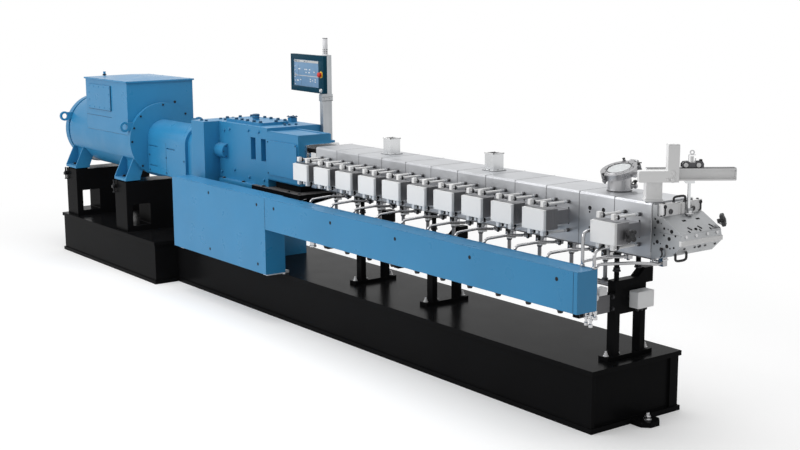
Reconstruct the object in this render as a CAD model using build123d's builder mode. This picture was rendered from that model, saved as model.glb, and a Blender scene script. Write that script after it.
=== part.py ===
from build123d import *
import math
import os

os.makedirs("parts", exist_ok=True)

# Frame: +X runs along the machine from the motor to the die, +Z is up.
# The origin is on the floor, under the middle of the base length and under
# the screw axis. All sizes are in millimetres.

# Base frame
base_height = 370
base_start_x = -3530
base_step_x = -1520
base_end_margin = 200
base_near_y = -394
base_far_y = 351
motor_base_margin = 43
plate_thickness = 30
plate_overhang = 12
end_recess = 15
end_recess_border = 25
end_strip_width = 70
lug_length = 125
lug_width = 150
lug_corner = 40
anchor_hole_radius = 14

# Screws and barrel
screw_axis_z = base_height + 815
screw_diameter = 70
section_length = 4 * screw_diameter
section_count = 12
barrel_start_x = 370
barrel_half_width = 168
barrel_top_z = screw_axis_z + 153
barrel_bottom_z = screw_axis_z - 165
barrel_edge_radius = 14
barrel_bottom_chamfer = 10
seam_chamfer = 2.5
barrel_end_x = barrel_start_x + section_count * section_length
base_end_x = barrel_end_x - base_end_margin

# Motor
motor_y = -190
motor_z = screw_axis_z - 5
motor_radius = 330
motor_belly_radius = 318
motor_belly_drop = 155
motor_flange_radius = 334
motor_flange_thickness = 40
motor_front_x = -2113
motor_rear_x = -3575
motor_ring_thickness = 68
motor_groove_width = 34
motor_groove_depth = 28

# Motor feet and pedestals
pedestal_top_z = motor_z - motor_radius - 33
pedestal_length = 235
rear_pedestal_x = motor_rear_x + 215
front_pedestal_x = motor_front_x - 137
pedestal_near_y = motor_y - motor_radius - 54
pedestal_far_y = 2 * motor_y - pedestal_near_y
window_width = 173
window_sill = 47
window_height = 195
window_margin = 58
window_corner = 8
shim_thickness = 12
shim_inset = 18
foot_plate_thickness = 22
foot_top_z = motor_z - 150
foot_top_y = motor_y - motor_radius + 32
foot_inner_y = foot_top_y + 58
foot_gusset = 12
foot_wall = 20
eye_outer_radius = 45
eye_hole_radius = 26
eye_thickness = 24
eye_root_height = 72
eye_reach = 370
eye_root_reach = 240
eye_z = motor_z + 135

# Air cooler on the motor
cooler_rear_x = motor_rear_x + 525
cooler_front_x = motor_front_x - 45
cooler_half_width = motor_radius - 4
cooler_top_z = motor_z + 520
cooler_lid_edge = 14
cooler_lid_rise = 26
cooler_lid_overhang = 12
cooler_ridge_length = 270
cooler_ridge_width = 16
access_cover_length = 480
access_cover_start = 70
access_cover_margin = 22
access_cover_bottom_z = motor_z + 250
access_cover_thickness = 10
stud_x = cooler_rear_x + 60
stud_y = motor_y - 160
stud_radius = 12
stud_height = 46

# Coupling guard between motor and gearbox
guard_radius = 164
guard_center_z = motor_z + 18
guard_bottom_z = base_height + 530
guard_end_x = -1396
inner_guard_radius = 138
inner_guard_bottom_z = guard_bottom_z + 30
slot_length = 155
slot_height = 10
slot_depth = 12
slot_z = guard_center_z - 58
low_slot_z = guard_bottom_z + 65
slot_inset = 33
slot_pitch = 335

# Gearbox
gearbox_top_z = screw_axis_z + 245
input_start_x = -1278
input_end_x = -1047
input_near_y = -354
input_far_y = 60
main_near_y = -209
main_far_y = 331
main_end_x = -270
main_corner_radius = 8
main_shoulder_radius = 60
output_end_x = 185
output_top_z = screw_axis_z + 218
output_bottom_z = screw_axis_z - 169
output_far_y = 92
output_step_z = screw_axis_z + 105
output_lower_far_y = 170
output_edge_radius = 18
pocket_bottom_z = screw_axis_z - 25
pocket_top_z = screw_axis_z + 154
pocket_width = 74
pocket_depth = 45
pocket_insets = [223, 63]
shaft_cap_y = -205
shaft_cap_z = screw_axis_z + 5
shaft_cap_radius = 62
shaft_cap_length = 142
cover_start_x = -1035
cover_end_x = -460
cover_near_y = -155
cover_far_y = 120
cover_thickness = 22
cover_corner = 24
breather_x = -719
breather_y = -44
breather_radius = 28
breather_height = 38
filler_x = -592
filler_y = 228
filler_size = 56
filler_height = 36
filler_cap_height = 8
side_cover_thickness = 12
side_cover_corner = 30
side_cover_inset = 12
side_cover_bottom_z = screw_axis_z - 117

# Gearbox stand
stand_start_x = -1000
stand_end_x = -335
stand_near_y = -200
stand_far_y = 180
console_top_z = base_height + 590
console_thickness = 32
console_near_y = -245
console_far_y = 205
console_end_x = 250
console_rib_thickness = 24
console_rib_drop = 170
pad_inset = 45

# Neck between gearbox and barrel
neck_radius = 92
neck_flange_half_width = 150
neck_flange_thickness = 28
neck_flange_corner = 10
inlet_block_length = 70
inlet_block_top_z = screw_axis_z + 105
neck_cover_half_width = 140
neck_cover_thickness = 24
tie_bar_size = 26
tie_bar_places = [(-126, 78), (-126, -10), (126, 78), (126, -10)]

# Cabinet and cable duct
duct_near_y = -569
duct_depth = 152
duct_top_z = base_height + 603
duct_height = 236
duct_end_x = barrel_end_x - 157
cabinet_start_x = -1228
cabinet_end_x = 268
cabinet_depth = 172
duct_hole_radius = 9
duct_hole_depth = 14
duct_hole_drop = 62
duct_hole_pitch = 753
duct_hole_start = 130
duct_hole_count = 5
cabinet_hole_margin = 116
cabinet_low_hole_rise = 66
bracket_thickness = 18
bracket_width = 60
bracket_inner_y = -340
bracket_inset = 70
bracket_outer_inset = 36
duct_arm_width = 50
duct_arm_height = 105
duct_arm_rise = 25

# Barrel supports
support_offsets = [492, 1336, 3036]
support_plate_length = 76
support_plate_width = 370
support_plate_thickness = 25
post_length = 60
post_width = 42
beam_half_width = 128
beam_height = 200
beam_crown_z = screw_axis_z - 345
horn_foot_y = 59
horn_knee_y = 117
horn_outer_y = 185
horn_rise = 50
horn_height = 90
column_radius = 15
column_offset = 90
saddle_half_width = 112
saddle_length = 90
saddle_thickness = 18

# Junction box on the front support
junction_length = 66
junction_near_y = -10
junction_width = 136
junction_height = 100
junction_rise = 30

# Terminal boxes on the barrel
box_width = 186
box_bottom_z = screw_axis_z - 68
box_height = 123
box_front_y = -404
box_cover_depth = 18
box_depth = 110
box_neck_width = 120
box_neck_height = 84
stem_offset = 55
stem_rise = 25
stem_drop = 22
stem_start_y = -374
stem_radius = 7
stem_collar_radius = 14
stem_collar_length = 36

# Feed sockets and vent
socket_size = 86
socket_wall = 5
socket_height = 115
socket_flange = 12
socket_flange_thickness = 6
socket_indexes = [2, 6]
socket_y = 25
vent_index = 10
vent_y = 16
vent_radius = 69
vent_wall = 6
vent_flange_radius = 110
vent_tilt = 18
vent_axis_z = barrel_top_z + 112
vent_flange_thickness = 14
lid_thickness = 22
lid_glass_radius = 70
lid_seat_gap = 0.3
glass_thickness = 9
hinge_radius = 11
hinge_pin_radius = 5
hinge_lug_width = 30
hinge_ear_width = 12
hinge_ear_offset = 22
hinge_reach = 128
clamp_reach = 140
clamp_ear_width = 40

# Cooling circuit
seat_gap = 0.3
tube_radius = 9
tube_y = -388
tube_inset = 28
tube_crown_z = screw_axis_z - 195
tube_arch_z = screw_axis_z - 175
tube_end_z = screw_axis_z - 181
tube_reach = 102
tube_bend_radius = 30
coupling_size = 34
coupling_near_y = -140
coupling_drop = 32
supply_radius = 18
supply_start_x = 560
supply_rise = 30
return_y = -85
return_radius = 17
return_z = screw_axis_z - 380
return_start_x = 430
return_end_x = 3350
riser_radius = 12
valve_size = 44
valve_height = 75
valve_shift = 14

# Die head
die_half_width = 165
die_back_thickness = 35
die_back_top_z = screw_axis_z + 145
die_shelf_z = screw_axis_z + 83
die_shelf_length = 76
die_slope_length = 206
die_slope_z = screw_axis_z + 7
die_lip_length = 220
die_lip_z = screw_axis_z - 55
die_bottom_length = 150
die_bottom_z = screw_axis_z - 123
die_lug_y = 41
die_lug_size = 36
die_lug_top_z = screw_axis_z + 113
die_hole_radius = 9
die_hole_depth = 18
die_hole_places = [(22, 55), (42, 41), (112, 5), (98, -35), (30, -65), (82, -81)]
clamp_ys = [-92, 118]
clamp_widths = [116, 84]
clamp_height = 66
clamp_depth = 36

# Lifting gear
lift_x = barrel_end_x - 38
lift_y = -116
lift_turn = 53.3
lift_post_length = 88
lift_post_depth = 80
lift_post_offset = 20
lift_plate_thickness = 12
lift_plate_margin = 6
lift_beam_z = barrel_top_z + 116
lift_beam_depth = 68
lift_beam_width = 50
lift_beam_flange = 8
lift_beam_web = 8
lift_beam_start = -43
lift_beam_end = 446
mast_size = 62
mast_center = 89
mast_top_z = lift_beam_z + 205
sleeve_start = -95
trolley_center = 206
trolley_length = 104
wheel_radius = 17
rod_place = 196
suspension_radius = 9
rod_clamp_length = 48
rod_clamp_thickness = 14
eye_stem_height = 30

# Operator panel
panel_post_x = -246
panel_post_y = 335
panel_post_width = 45
panel_post_depth = 90
panel_post_corner = 4
groove_width = 10
groove_depth = 12
groove_offset = 22.5
post_bracket_z = screw_axis_z + 51
post_bracket_height = 64
post_bracket_far_y = 385
post_bracket_margin = 26
collar_bottom_z = screw_axis_z + 433
collar_height = 55
collar_margin = 5
swivel_gap = 0.3
panel_bottom_z = screw_axis_z + 503
panel_height = 298
panel_width = 576
panel_depth = 50
panel_corner = 8
panel_right_offset = 150
panel_turn = 5.7
screen_width = 443
screen_height = 219
screen_recess = 3
screen_left_margin = 46
light_radius = 33
light_height = 140
stop_radius = 18
stop_height = 16
stop_inset = 42


def block(x_limits, y_limits, z_limits, mode=Mode.ADD):
    """Add a block to the piece, or cut it out, between limits on each axis."""
    sides = [limits[1] - limits[0] for limits in (x_limits, y_limits, z_limits)]
    center = [sum(limits) / 2 for limits in (x_limits, y_limits, z_limits)]
    with Locations(tuple(center)):
        Box(*sides, mode=mode)


def rod(start, direction, length, radius, mode=Mode.ADD):
    """Add a round bar that starts at a point and runs along a direction."""
    with Locations(Plane(origin=start, z_dir=direction)):
        Cylinder(radius, length, align=(Align.CENTER, Align.CENTER, Align.MIN), mode=mode)


def section_center(index):
    """Place of a barrel section's middle along the machine."""
    return barrel_start_x + (index + 0.5) * section_length


# Main base frame: a boxed frame between a top plate and a foot flange, with
# a recessed end panel and an anchor lug.
web_near_y = base_near_y + plate_overhang
web_far_y = base_far_y - plate_overhang
web_end_x = base_end_x - plate_overhang
web_z = (plate_thickness, base_height - plate_thickness)
plate_zs = [(0, plate_thickness), (base_height - plate_thickness, base_height)]
motor_base_near_y = pedestal_near_y - motor_base_margin
with BuildPart() as base_frame:
    block((base_step_x, web_end_x), (web_near_y, web_far_y), web_z)
    for plate_z in plate_zs:
        block((base_step_x, base_end_x), (base_near_y, base_far_y), plate_z)
    recess_y = (web_near_y + end_recess_border, web_far_y - end_strip_width)
    block((web_end_x - end_recess, web_end_x), recess_y, web_z, mode=Mode.SUBTRACT)
    with BuildSketch(Plane.XY) as front_lug:
        with Locations((base_end_x + lug_length / 2, 0)):
            Rectangle(lug_length, lug_width)
        chamfer(front_lug.vertices().group_by(Axis.X)[-1], lug_corner)
        with Locations((base_end_x + lug_length / 2, 0)):
            Circle(anchor_hole_radius, mode=Mode.SUBTRACT)
    extrude(amount=plate_thickness)
base_frame.part.label = "base_frame"
export_step(base_frame.part, "parts/base_frame.step")

# Motor base: the wider rear part of the frame, bolted to the main frame.
with BuildPart() as motor_base:
    motor_web_x = (base_start_x + plate_overhang, base_step_x - plate_overhang)
    block(motor_web_x, (motor_base_near_y + plate_overhang, web_far_y), web_z)
    block((motor_web_x[1], base_step_x), (web_near_y, web_far_y), web_z)
    for plate_z in plate_zs:
        block((base_start_x, base_step_x), (motor_base_near_y, base_far_y), plate_z)
    with BuildSketch(Plane.XY) as rear_lug:
        with Locations((base_start_x - lug_length / 2, 0)):
            Rectangle(lug_length, lug_width)
        chamfer(rear_lug.vertices().group_by(Axis.X)[0], lug_corner)
        with Locations((base_start_x - lug_length / 2, 0)):
            Circle(anchor_hole_radius, mode=Mode.SUBTRACT)
    extrude(amount=plate_thickness)
motor_base.part.label = "motor_base"
export_step(motor_base.part, "parts/motor_base.step")

# Motor pedestals: boxes across the motor base, each with two windows and a
# shim under every motor foot.
near_window_y = pedestal_near_y + window_margin + window_width / 2
window_z = base_height + window_sill + window_height / 2
shim_z = (pedestal_top_z, pedestal_top_z + shim_thickness)
near_shim_y = (pedestal_near_y + shim_inset, foot_inner_y - shim_inset)
far_shim_y = (2 * motor_y - near_shim_y[1], 2 * motor_y - near_shim_y[0])
for side, pedestal_x in (("rear", rear_pedestal_x), ("front", front_pedestal_x)):
    pedestal_start_x = pedestal_x - pedestal_length / 2
    with BuildPart() as pedestal:
        with BuildSketch(Plane.YZ.offset(pedestal_start_x)):
            with Locations((motor_y, (base_height + pedestal_top_z) / 2)):
                Rectangle(pedestal_far_y - pedestal_near_y, pedestal_top_z - base_height)
            for window_y in (near_window_y, 2 * motor_y - near_window_y):
                with Locations((window_y, window_z)):
                    RectangleRounded(window_width, window_height, window_corner, mode=Mode.SUBTRACT)
        extrude(amount=pedestal_length)
        shim_x = (pedestal_start_x + shim_inset, pedestal_start_x + pedestal_length - shim_inset)
        for shim_y in (near_shim_y, far_shim_y):
            block(shim_x, shim_y, shim_z)
    pedestal.part.label = f"motor_pedestal_{side}"
    export_step(pedestal.part, f"parts/motor_pedestal_{side}.step")

# Motor frame: a turned body with a grooved rear end and a drive flange, a
# slimmer belly, four gusseted feet and lifting eyes.
motor_axis = Axis((0, motor_y, motor_z), (1, 0, 0))
groove_start_x = motor_rear_x + motor_ring_thickness
groove_end_x = groove_start_x + motor_groove_width
drive_flange_x = motor_front_x - motor_flange_thickness
foot_bottom_z = pedestal_top_z + shim_thickness
foot_plate_top_z = foot_bottom_z + foot_plate_thickness
motor_mirror = Plane.YZ.offset(motor_y)
with BuildPart() as motor_frame:
    with BuildSketch(Plane.XZ.offset(-motor_y)):
        with BuildLine():
            Polyline(
                (motor_rear_x, motor_z),
                (motor_rear_x, motor_z + motor_radius),
                (groove_start_x, motor_z + motor_radius),
                (groove_start_x, motor_z + motor_radius - motor_groove_depth),
                (groove_end_x, motor_z + motor_radius - motor_groove_depth),
                (groove_end_x, motor_z + motor_radius),
                (drive_flange_x, motor_z + motor_radius),
                (drive_flange_x, motor_z + motor_flange_radius),
                (motor_front_x, motor_z + motor_flange_radius),
                (motor_front_x, motor_z),
                close=True,
            )
        make_face()
    revolve(axis=motor_axis)
    with BuildSketch(Plane.YZ.offset(groove_end_x)):
        with Locations((motor_y, motor_z)):
            Circle(motor_flange_radius)
            Circle(motor_belly_radius, mode=Mode.SUBTRACT)
        with Locations((motor_y, motor_z - motor_belly_drop + motor_flange_radius)):
            Rectangle(2 * motor_flange_radius, 2 * motor_flange_radius, mode=Mode.SUBTRACT)
    extrude(amount=drive_flange_x - groove_end_x, mode=Mode.SUBTRACT)
    for foot_x in (rear_pedestal_x, front_pedestal_x):
        foot_start_x = foot_x - pedestal_length / 2
        with BuildSketch(Plane.YZ.offset(foot_start_x)):
            with BuildLine():
                Polyline(
                    (pedestal_near_y, foot_bottom_z),
                    (pedestal_near_y, foot_plate_top_z),
                    (foot_inner_y - foot_wall, foot_plate_top_z),
                    (foot_inner_y - foot_wall, foot_top_z),
                    (foot_inner_y, foot_top_z),
                    (foot_inner_y, foot_bottom_z),
                    close=True,
                )
            make_face()
            mirror(about=motor_mirror)
        extrude(amount=pedestal_length)
        for gusset_x in (foot_start_x, foot_start_x + pedestal_length - foot_gusset):
            with BuildSketch(Plane.YZ.offset(gusset_x)):
                with BuildLine():
                    Polyline(
                        (pedestal_near_y, foot_plate_top_z),
                        (foot_top_y, foot_top_z),
                        (motor_y - motor_radius / 2, foot_top_z),
                        (foot_inner_y, foot_plate_top_z),
                        close=True,
                    )
                make_face()
                mirror(about=motor_mirror)
            extrude(amount=foot_gusset)
    for eye_x in (groove_start_x, drive_flange_x):
        with BuildSketch(Plane.YZ.offset(eye_x)):
            with Locations((motor_y - eye_reach, eye_z)):
                Circle(eye_outer_radius)
            with Locations((motor_y - (eye_reach + eye_root_reach) / 2, eye_z)):
                Rectangle(eye_reach - eye_root_reach, eye_root_height)
            with Locations((motor_y - eye_reach, eye_z)):
                Circle(eye_hole_radius, mode=Mode.SUBTRACT)
            mirror(about=motor_mirror)
        extrude(amount=eye_thickness)
motor_frame.part.label = "motor_frame"
export_step(motor_frame.part, "parts/motor_frame.step")

# Air cooler: a box that sits astride the motor, with a flat access cover on
# its near side.
cooler_length = cooler_front_x - cooler_rear_x
cooler_x = (cooler_rear_x + cooler_front_x) / 2
with BuildPart() as motor_cooler_box:
    with BuildSketch(Plane.XY.offset(motor_z)):
        with Locations((cooler_x, motor_y)):
            Rectangle(cooler_length, 2 * cooler_half_width)
    extrude(amount=cooler_top_z - motor_z)
    with BuildSketch(Plane.YZ.offset(cooler_rear_x)):
        with Locations((motor_y, motor_z)):
            Circle(motor_radius + seat_gap)
    extrude(amount=cooler_length, mode=Mode.SUBTRACT)
    with BuildSketch(Plane.XZ.offset(cooler_half_width - motor_y)):
        cover_height = cooler_top_z - 2 * access_cover_margin - access_cover_bottom_z
        with Locations((
            cooler_rear_x + access_cover_start + access_cover_length / 2,
            access_cover_bottom_z + cover_height / 2,
        )):
            Rectangle(access_cover_length, cover_height)
    extrude(amount=access_cover_thickness)
motor_cooler_box.part.label = "motor_cooler_box"
export_step(motor_cooler_box.part, "parts/motor_cooler_box.step")

# Cooler lid: a folded edge under a low hipped roof, with a filter stud.
lid_edge_top_z = cooler_top_z + cooler_lid_edge
with BuildPart() as motor_cooler_lid:
    with BuildSketch(Plane.XY.offset(cooler_top_z)):
        with Locations((cooler_x, motor_y)):
            Rectangle(cooler_length + 2 * cooler_lid_overhang, 2 * (cooler_half_width + cooler_lid_overhang))
    extrude(amount=cooler_lid_edge)
    with BuildSketch(Plane.XY.offset(lid_edge_top_z)):
        with Locations((cooler_x, motor_y)):
            Rectangle(cooler_length + 2 * cooler_lid_overhang, 2 * (cooler_half_width + cooler_lid_overhang))
    with BuildSketch(Plane.XY.offset(lid_edge_top_z + cooler_lid_rise)):
        with Locations((cooler_x, motor_y)):
            Rectangle(cooler_ridge_length, cooler_ridge_width)
    loft()
    rod((stud_x, stud_y, cooler_top_z), (0, 0, 1), cooler_lid_edge + stud_height, stud_radius)
motor_cooler_lid.part.label = "motor_cooler_lid"
export_step(motor_cooler_lid.part, "parts/motor_cooler_lid.step")

# Coupling guard: a wide arch behind the motor and a smaller arch into the
# gearbox, with cooling slots in the near side.
guard_near_y = motor_y - guard_radius
with BuildPart() as coupling_guard:
    with BuildSketch(Plane.YZ.offset(motor_front_x)):
        with Locations((motor_y, guard_center_z)):
            Circle(guard_radius)
        with Locations((motor_y, (guard_bottom_z + guard_center_z) / 2)):
            Rectangle(2 * guard_radius, guard_center_z - guard_bottom_z)
    extrude(amount=guard_end_x - motor_front_x)
    with BuildSketch(Plane.YZ.offset(guard_end_x)):
        with Locations((motor_y, guard_center_z)):
            Circle(inner_guard_radius)
        with Locations((motor_y, (inner_guard_bottom_z + guard_center_z) / 2)):
            Rectangle(2 * inner_guard_radius, guard_center_z - inner_guard_bottom_z)
    extrude(amount=input_start_x - guard_end_x)
    slot_x = motor_front_x + slot_inset
    for slot_start, slot_bottom_z in ((slot_x, slot_z), (slot_x + slot_pitch, slot_z), (slot_x, low_slot_z)):
        block(
            (slot_start, slot_start + slot_length),
            (guard_near_y, guard_near_y + slot_depth),
            (slot_bottom_z, slot_bottom_z + slot_height),
            mode=Mode.SUBTRACT,
        )
coupling_guard.part.label = "coupling_guard"
export_step(coupling_guard.part, "parts/coupling_guard.step")

# Gearbox input housing: a tall block with rounded upright edges.
with BuildPart() as gearbox_input_housing:
    with BuildSketch(Plane.XY.offset(guard_bottom_z)) as input_outline:
        with Locations(((input_start_x + input_end_x) / 2, (input_near_y + input_far_y) / 2)):
            Rectangle(input_end_x - input_start_x, input_far_y - input_near_y)
        fillet(input_outline.vertices().group_by(Axis.X)[0], output_edge_radius)
    extrude(amount=gearbox_top_z - guard_bottom_z)
gearbox_input_housing.part.label = "gearbox_input_housing"
export_step(gearbox_input_housing.part, "parts/gearbox_input_housing.step")

# Gearbox main housing: the casing with a rounded far shoulder, two pockets in
# its near wall, a round bearing cap and the oil filler on its top.
with BuildPart() as gearbox_main_housing:
    with BuildSketch(Plane.YZ.offset(input_end_x)) as main_outline:
        with Locations(((main_near_y + main_far_y) / 2, (console_top_z + gearbox_top_z) / 2)):
            Rectangle(main_far_y - main_near_y, gearbox_top_z - console_top_z)
        top_corners = main_outline.vertices().group_by(Axis.Z)[-1].sort_by(Axis.Y)
        fillet(top_corners[0], main_corner_radius)
        far_corner = main_outline.vertices().group_by(Axis.Z)[-1].sort_by(Axis.Y)[-1]
        fillet(far_corner, main_shoulder_radius)
    extrude(amount=main_end_x - input_end_x)
    for pocket_inset in pocket_insets:
        pocket_x = main_end_x - pocket_inset
        block(
            (pocket_x - pocket_width / 2, pocket_x + pocket_width / 2),
            (main_near_y, main_near_y + pocket_depth),
            (pocket_bottom_z, pocket_top_z),
            mode=Mode.SUBTRACT,
        )
    rod((input_end_x, shaft_cap_y, shaft_cap_z), (1, 0, 0), shaft_cap_length, shaft_cap_radius)
    filler_x_limits = (filler_x - filler_size / 2, filler_x + filler_size / 2)
    filler_y_limits = (filler_y - filler_size / 2, filler_y + filler_size / 2)
    block(filler_x_limits, filler_y_limits, (gearbox_top_z, gearbox_top_z + filler_height))
    rod((filler_x, filler_y, gearbox_top_z + filler_height), (0, 0, 1), filler_cap_height, filler_size / 3)
gearbox_main_housing.part.label = "gearbox_main_housing"
export_step(gearbox_main_housing.part, "parts/gearbox_main_housing.step")

# Gearbox top cover and the breather on it
with BuildPart() as gearbox_top_cover:
    with BuildSketch(Plane.XY.offset(gearbox_top_z)):
        with Locations(((cover_start_x + cover_end_x) / 2, (cover_near_y + cover_far_y) / 2)):
            RectangleRounded(cover_end_x - cover_start_x, cover_far_y - cover_near_y, cover_corner)
    extrude(amount=cover_thickness)
    breather_start = (breather_x, breather_y, gearbox_top_z + cover_thickness)
    rod(breather_start, (0, 0, 1), breather_height, breather_radius)
gearbox_top_cover.part.label = "gearbox_top_cover"
export_step(gearbox_top_cover.part, "parts/gearbox_top_cover.step")

# Gearbox output housing: a stepped casing towards the barrel, with the
# bracket of the panel post on its far side.
with BuildPart() as gearbox_output_housing:
    with BuildSketch(Plane.YZ.offset(main_end_x)) as output_outline:
        with BuildLine():
            Polyline(
                (main_near_y, output_bottom_z),
                (main_near_y, output_top_z),
                (output_far_y, output_top_z),
                (output_far_y, output_step_z),
                (output_lower_far_y, output_step_z),
                (output_lower_far_y, output_bottom_z),
                close=True,
            )
        make_face()
        fillet(output_outline.vertices().group_by(Axis.Y)[0], output_edge_radius)
    extrude(amount=output_end_x - main_end_x)
    block(
        (main_end_x, panel_post_x + panel_post_width / 2 + post_bracket_margin),
        (output_lower_far_y, post_bracket_far_y),
        (post_bracket_z, post_bracket_z + post_bracket_height),
    )
gearbox_output_housing.part.label = "gearbox_output_housing"
export_step(gearbox_output_housing.part, "parts/gearbox_output_housing.step")

# Side cover on the output housing
side_cover_length = output_end_x - main_end_x - 2 * side_cover_inset
with BuildPart() as gearbox_side_cover:
    with BuildSketch(Plane.XZ.offset(-main_near_y)):
        with Locations(((main_end_x + output_end_x) / 2, (side_cover_bottom_z + pocket_top_z) / 2)):
            RectangleRounded(side_cover_length, pocket_top_z - side_cover_bottom_z, side_cover_corner)
    extrude(amount=side_cover_thickness)
gearbox_side_cover.part.label = "gearbox_side_cover"
export_step(gearbox_side_cover.part, "parts/gearbox_side_cover.step")

# Gearbox stand: a boxed leg on the base, and a ribbed console plate on it
# that carries both housings.
console_bottom_z = console_top_z - console_thickness
with BuildPart() as gearbox_stand:
    block((stand_start_x, stand_end_x), (stand_near_y, stand_far_y), (base_height, console_bottom_z))
gearbox_stand.part.label = "gearbox_stand"
export_step(gearbox_stand.part, "parts/gearbox_stand.step")

with BuildPart() as gearbox_console:
    block((stand_start_x, console_end_x), (console_near_y, console_far_y), (console_bottom_z, console_top_z))
    block(
        (main_end_x + pad_inset, output_end_x - pad_inset),
        (main_near_y + pad_inset, output_lower_far_y - pad_inset),
        (console_top_z, output_bottom_z),
    )
    for rib_y in (stand_near_y + console_rib_thickness, stand_far_y):
        with BuildSketch(Plane.XZ.offset(-rib_y)):
            with BuildLine():
                Polyline(
                    (stand_end_x, console_bottom_z),
                    (console_end_x, console_bottom_z),
                    (stand_end_x, console_bottom_z - console_rib_drop),
                    close=True,
                )
            make_face()
        extrude(amount=console_rib_thickness)
gearbox_console.part.label = "gearbox_console"
export_step(gearbox_console.part, "parts/gearbox_console.step")

# Neck between gearbox and barrel: a square flange, a tube with tie bars
# around it, and the block that the first barrel section is bolted to.
neck_flange_end_x = output_end_x + neck_flange_thickness
inlet_block_x = (barrel_start_x - inlet_block_length, barrel_start_x)
with BuildPart() as barrel_neck:
    with BuildSketch(Plane.YZ.offset(output_end_x)):
        with Locations((0, screw_axis_z)):
            RectangleRounded(2 * neck_flange_half_width, 2 * neck_flange_half_width, neck_flange_corner)
    extrude(amount=neck_flange_thickness)
    block(inlet_block_x, (-barrel_half_width, barrel_half_width), (barrel_bottom_z, inlet_block_top_z))
    lantern_length = inlet_block_x[0] - neck_flange_end_x
    rod((neck_flange_end_x, 0, screw_axis_z), (1, 0, 0), lantern_length, neck_radius)
    for bar_y, bar_rise in tie_bar_places:
        block(
            (neck_flange_end_x, inlet_block_x[0]),
            (bar_y - tie_bar_size / 2, bar_y + tie_bar_size / 2),
            (screw_axis_z + bar_rise - tie_bar_size / 2, screw_axis_z + bar_rise + tie_bar_size / 2),
        )
barrel_neck.part.label = "barrel_neck"
export_step(barrel_neck.part, "parts/barrel_neck.step")

# Cover plate over the open part of the neck
with BuildPart() as neck_cover:
    block(
        (neck_flange_end_x, barrel_start_x),
        (-neck_cover_half_width, neck_cover_half_width),
        (inlet_block_top_z, inlet_block_top_z + neck_cover_thickness),
    )
neck_cover.part.label = "neck_cover"
export_step(neck_cover.part, "parts/neck_cover.step")

# Cabinet beside the gearbox, outside the frame, with its mounting bars
cabinet_far_y = duct_near_y + cabinet_depth
cabinet_bottom_z = base_height + bracket_thickness
with BuildPart() as side_cabinet:
    block((cabinet_start_x, cabinet_end_x), (duct_near_y, cabinet_far_y), (cabinet_bottom_z, duct_top_z))
    cabinet_hole_zs = (duct_top_z - duct_hole_drop, cabinet_bottom_z + cabinet_low_hole_rise)
    for hole_z in cabinet_hole_zs:
        for hole_index in range(2):
            hole_x = cabinet_end_x - cabinet_hole_margin - hole_index * duct_hole_pitch
            rod((hole_x, duct_near_y, hole_z), (0, 1, 0), duct_hole_depth, duct_hole_radius, mode=Mode.SUBTRACT)
side_cabinet.part.label = "side_cabinet"
export_step(side_cabinet.part, "parts/side_cabinet.step")

with BuildPart() as cabinet_brackets:
    for bracket_x in (cabinet_start_x + bracket_inset, cabinet_end_x - bracket_inset):
        block(
            (bracket_x - bracket_width / 2, bracket_x + bracket_width / 2),
            (duct_near_y + bracket_outer_inset, bracket_inner_y),
            (base_height, cabinet_bottom_z),
        )
cabinet_brackets.part.label = "cabinet_brackets"
export_step(cabinet_brackets.part, "parts/cabinet_brackets.step")

# Cable duct: the long box along the barrel
duct_far_y = duct_near_y + duct_depth
duct_bottom_z = duct_top_z - duct_height
with BuildPart() as cable_duct:
    block((cabinet_end_x, duct_end_x), (duct_near_y, duct_far_y), (duct_bottom_z, duct_top_z))
    for hole_index in range(duct_hole_count):
        hole_start = (
            cabinet_end_x + duct_hole_start + hole_index * duct_hole_pitch,
            duct_near_y,
            duct_top_z - duct_hole_drop,
        )
        rod(hole_start, (0, 1, 0), duct_hole_depth, duct_hole_radius, mode=Mode.SUBTRACT)
cable_duct.part.label = "cable_duct"
export_step(cable_duct.part, "parts/cable_duct.step")

# Barrel: one section after the other, with rounded top edges and chamfered
# bottom edges.
for index in range(section_count):
    section_x = barrel_start_x + index * section_length
    with BuildPart() as barrel_section:
        with BuildSketch(Plane.YZ.offset(section_x)) as section_outline:
            with Locations((0, (barrel_bottom_z + barrel_top_z) / 2)):
                Rectangle(2 * barrel_half_width, barrel_top_z - barrel_bottom_z)
            fillet(section_outline.vertices().group_by(Axis.Y)[-1], barrel_edge_radius)
            chamfer(section_outline.vertices().group_by(Axis.Y)[0], barrel_bottom_chamfer)
        extrude(amount=section_length)
        end_faces = barrel_section.faces().filter_by(Plane.YZ)
        chamfer(end_faces.edges(), seam_chamfer)
    barrel_section.part.label = f"barrel_section_{index + 1}"
    export_step(barrel_section.part, f"parts/barrel_section_{index + 1}.step")

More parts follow.
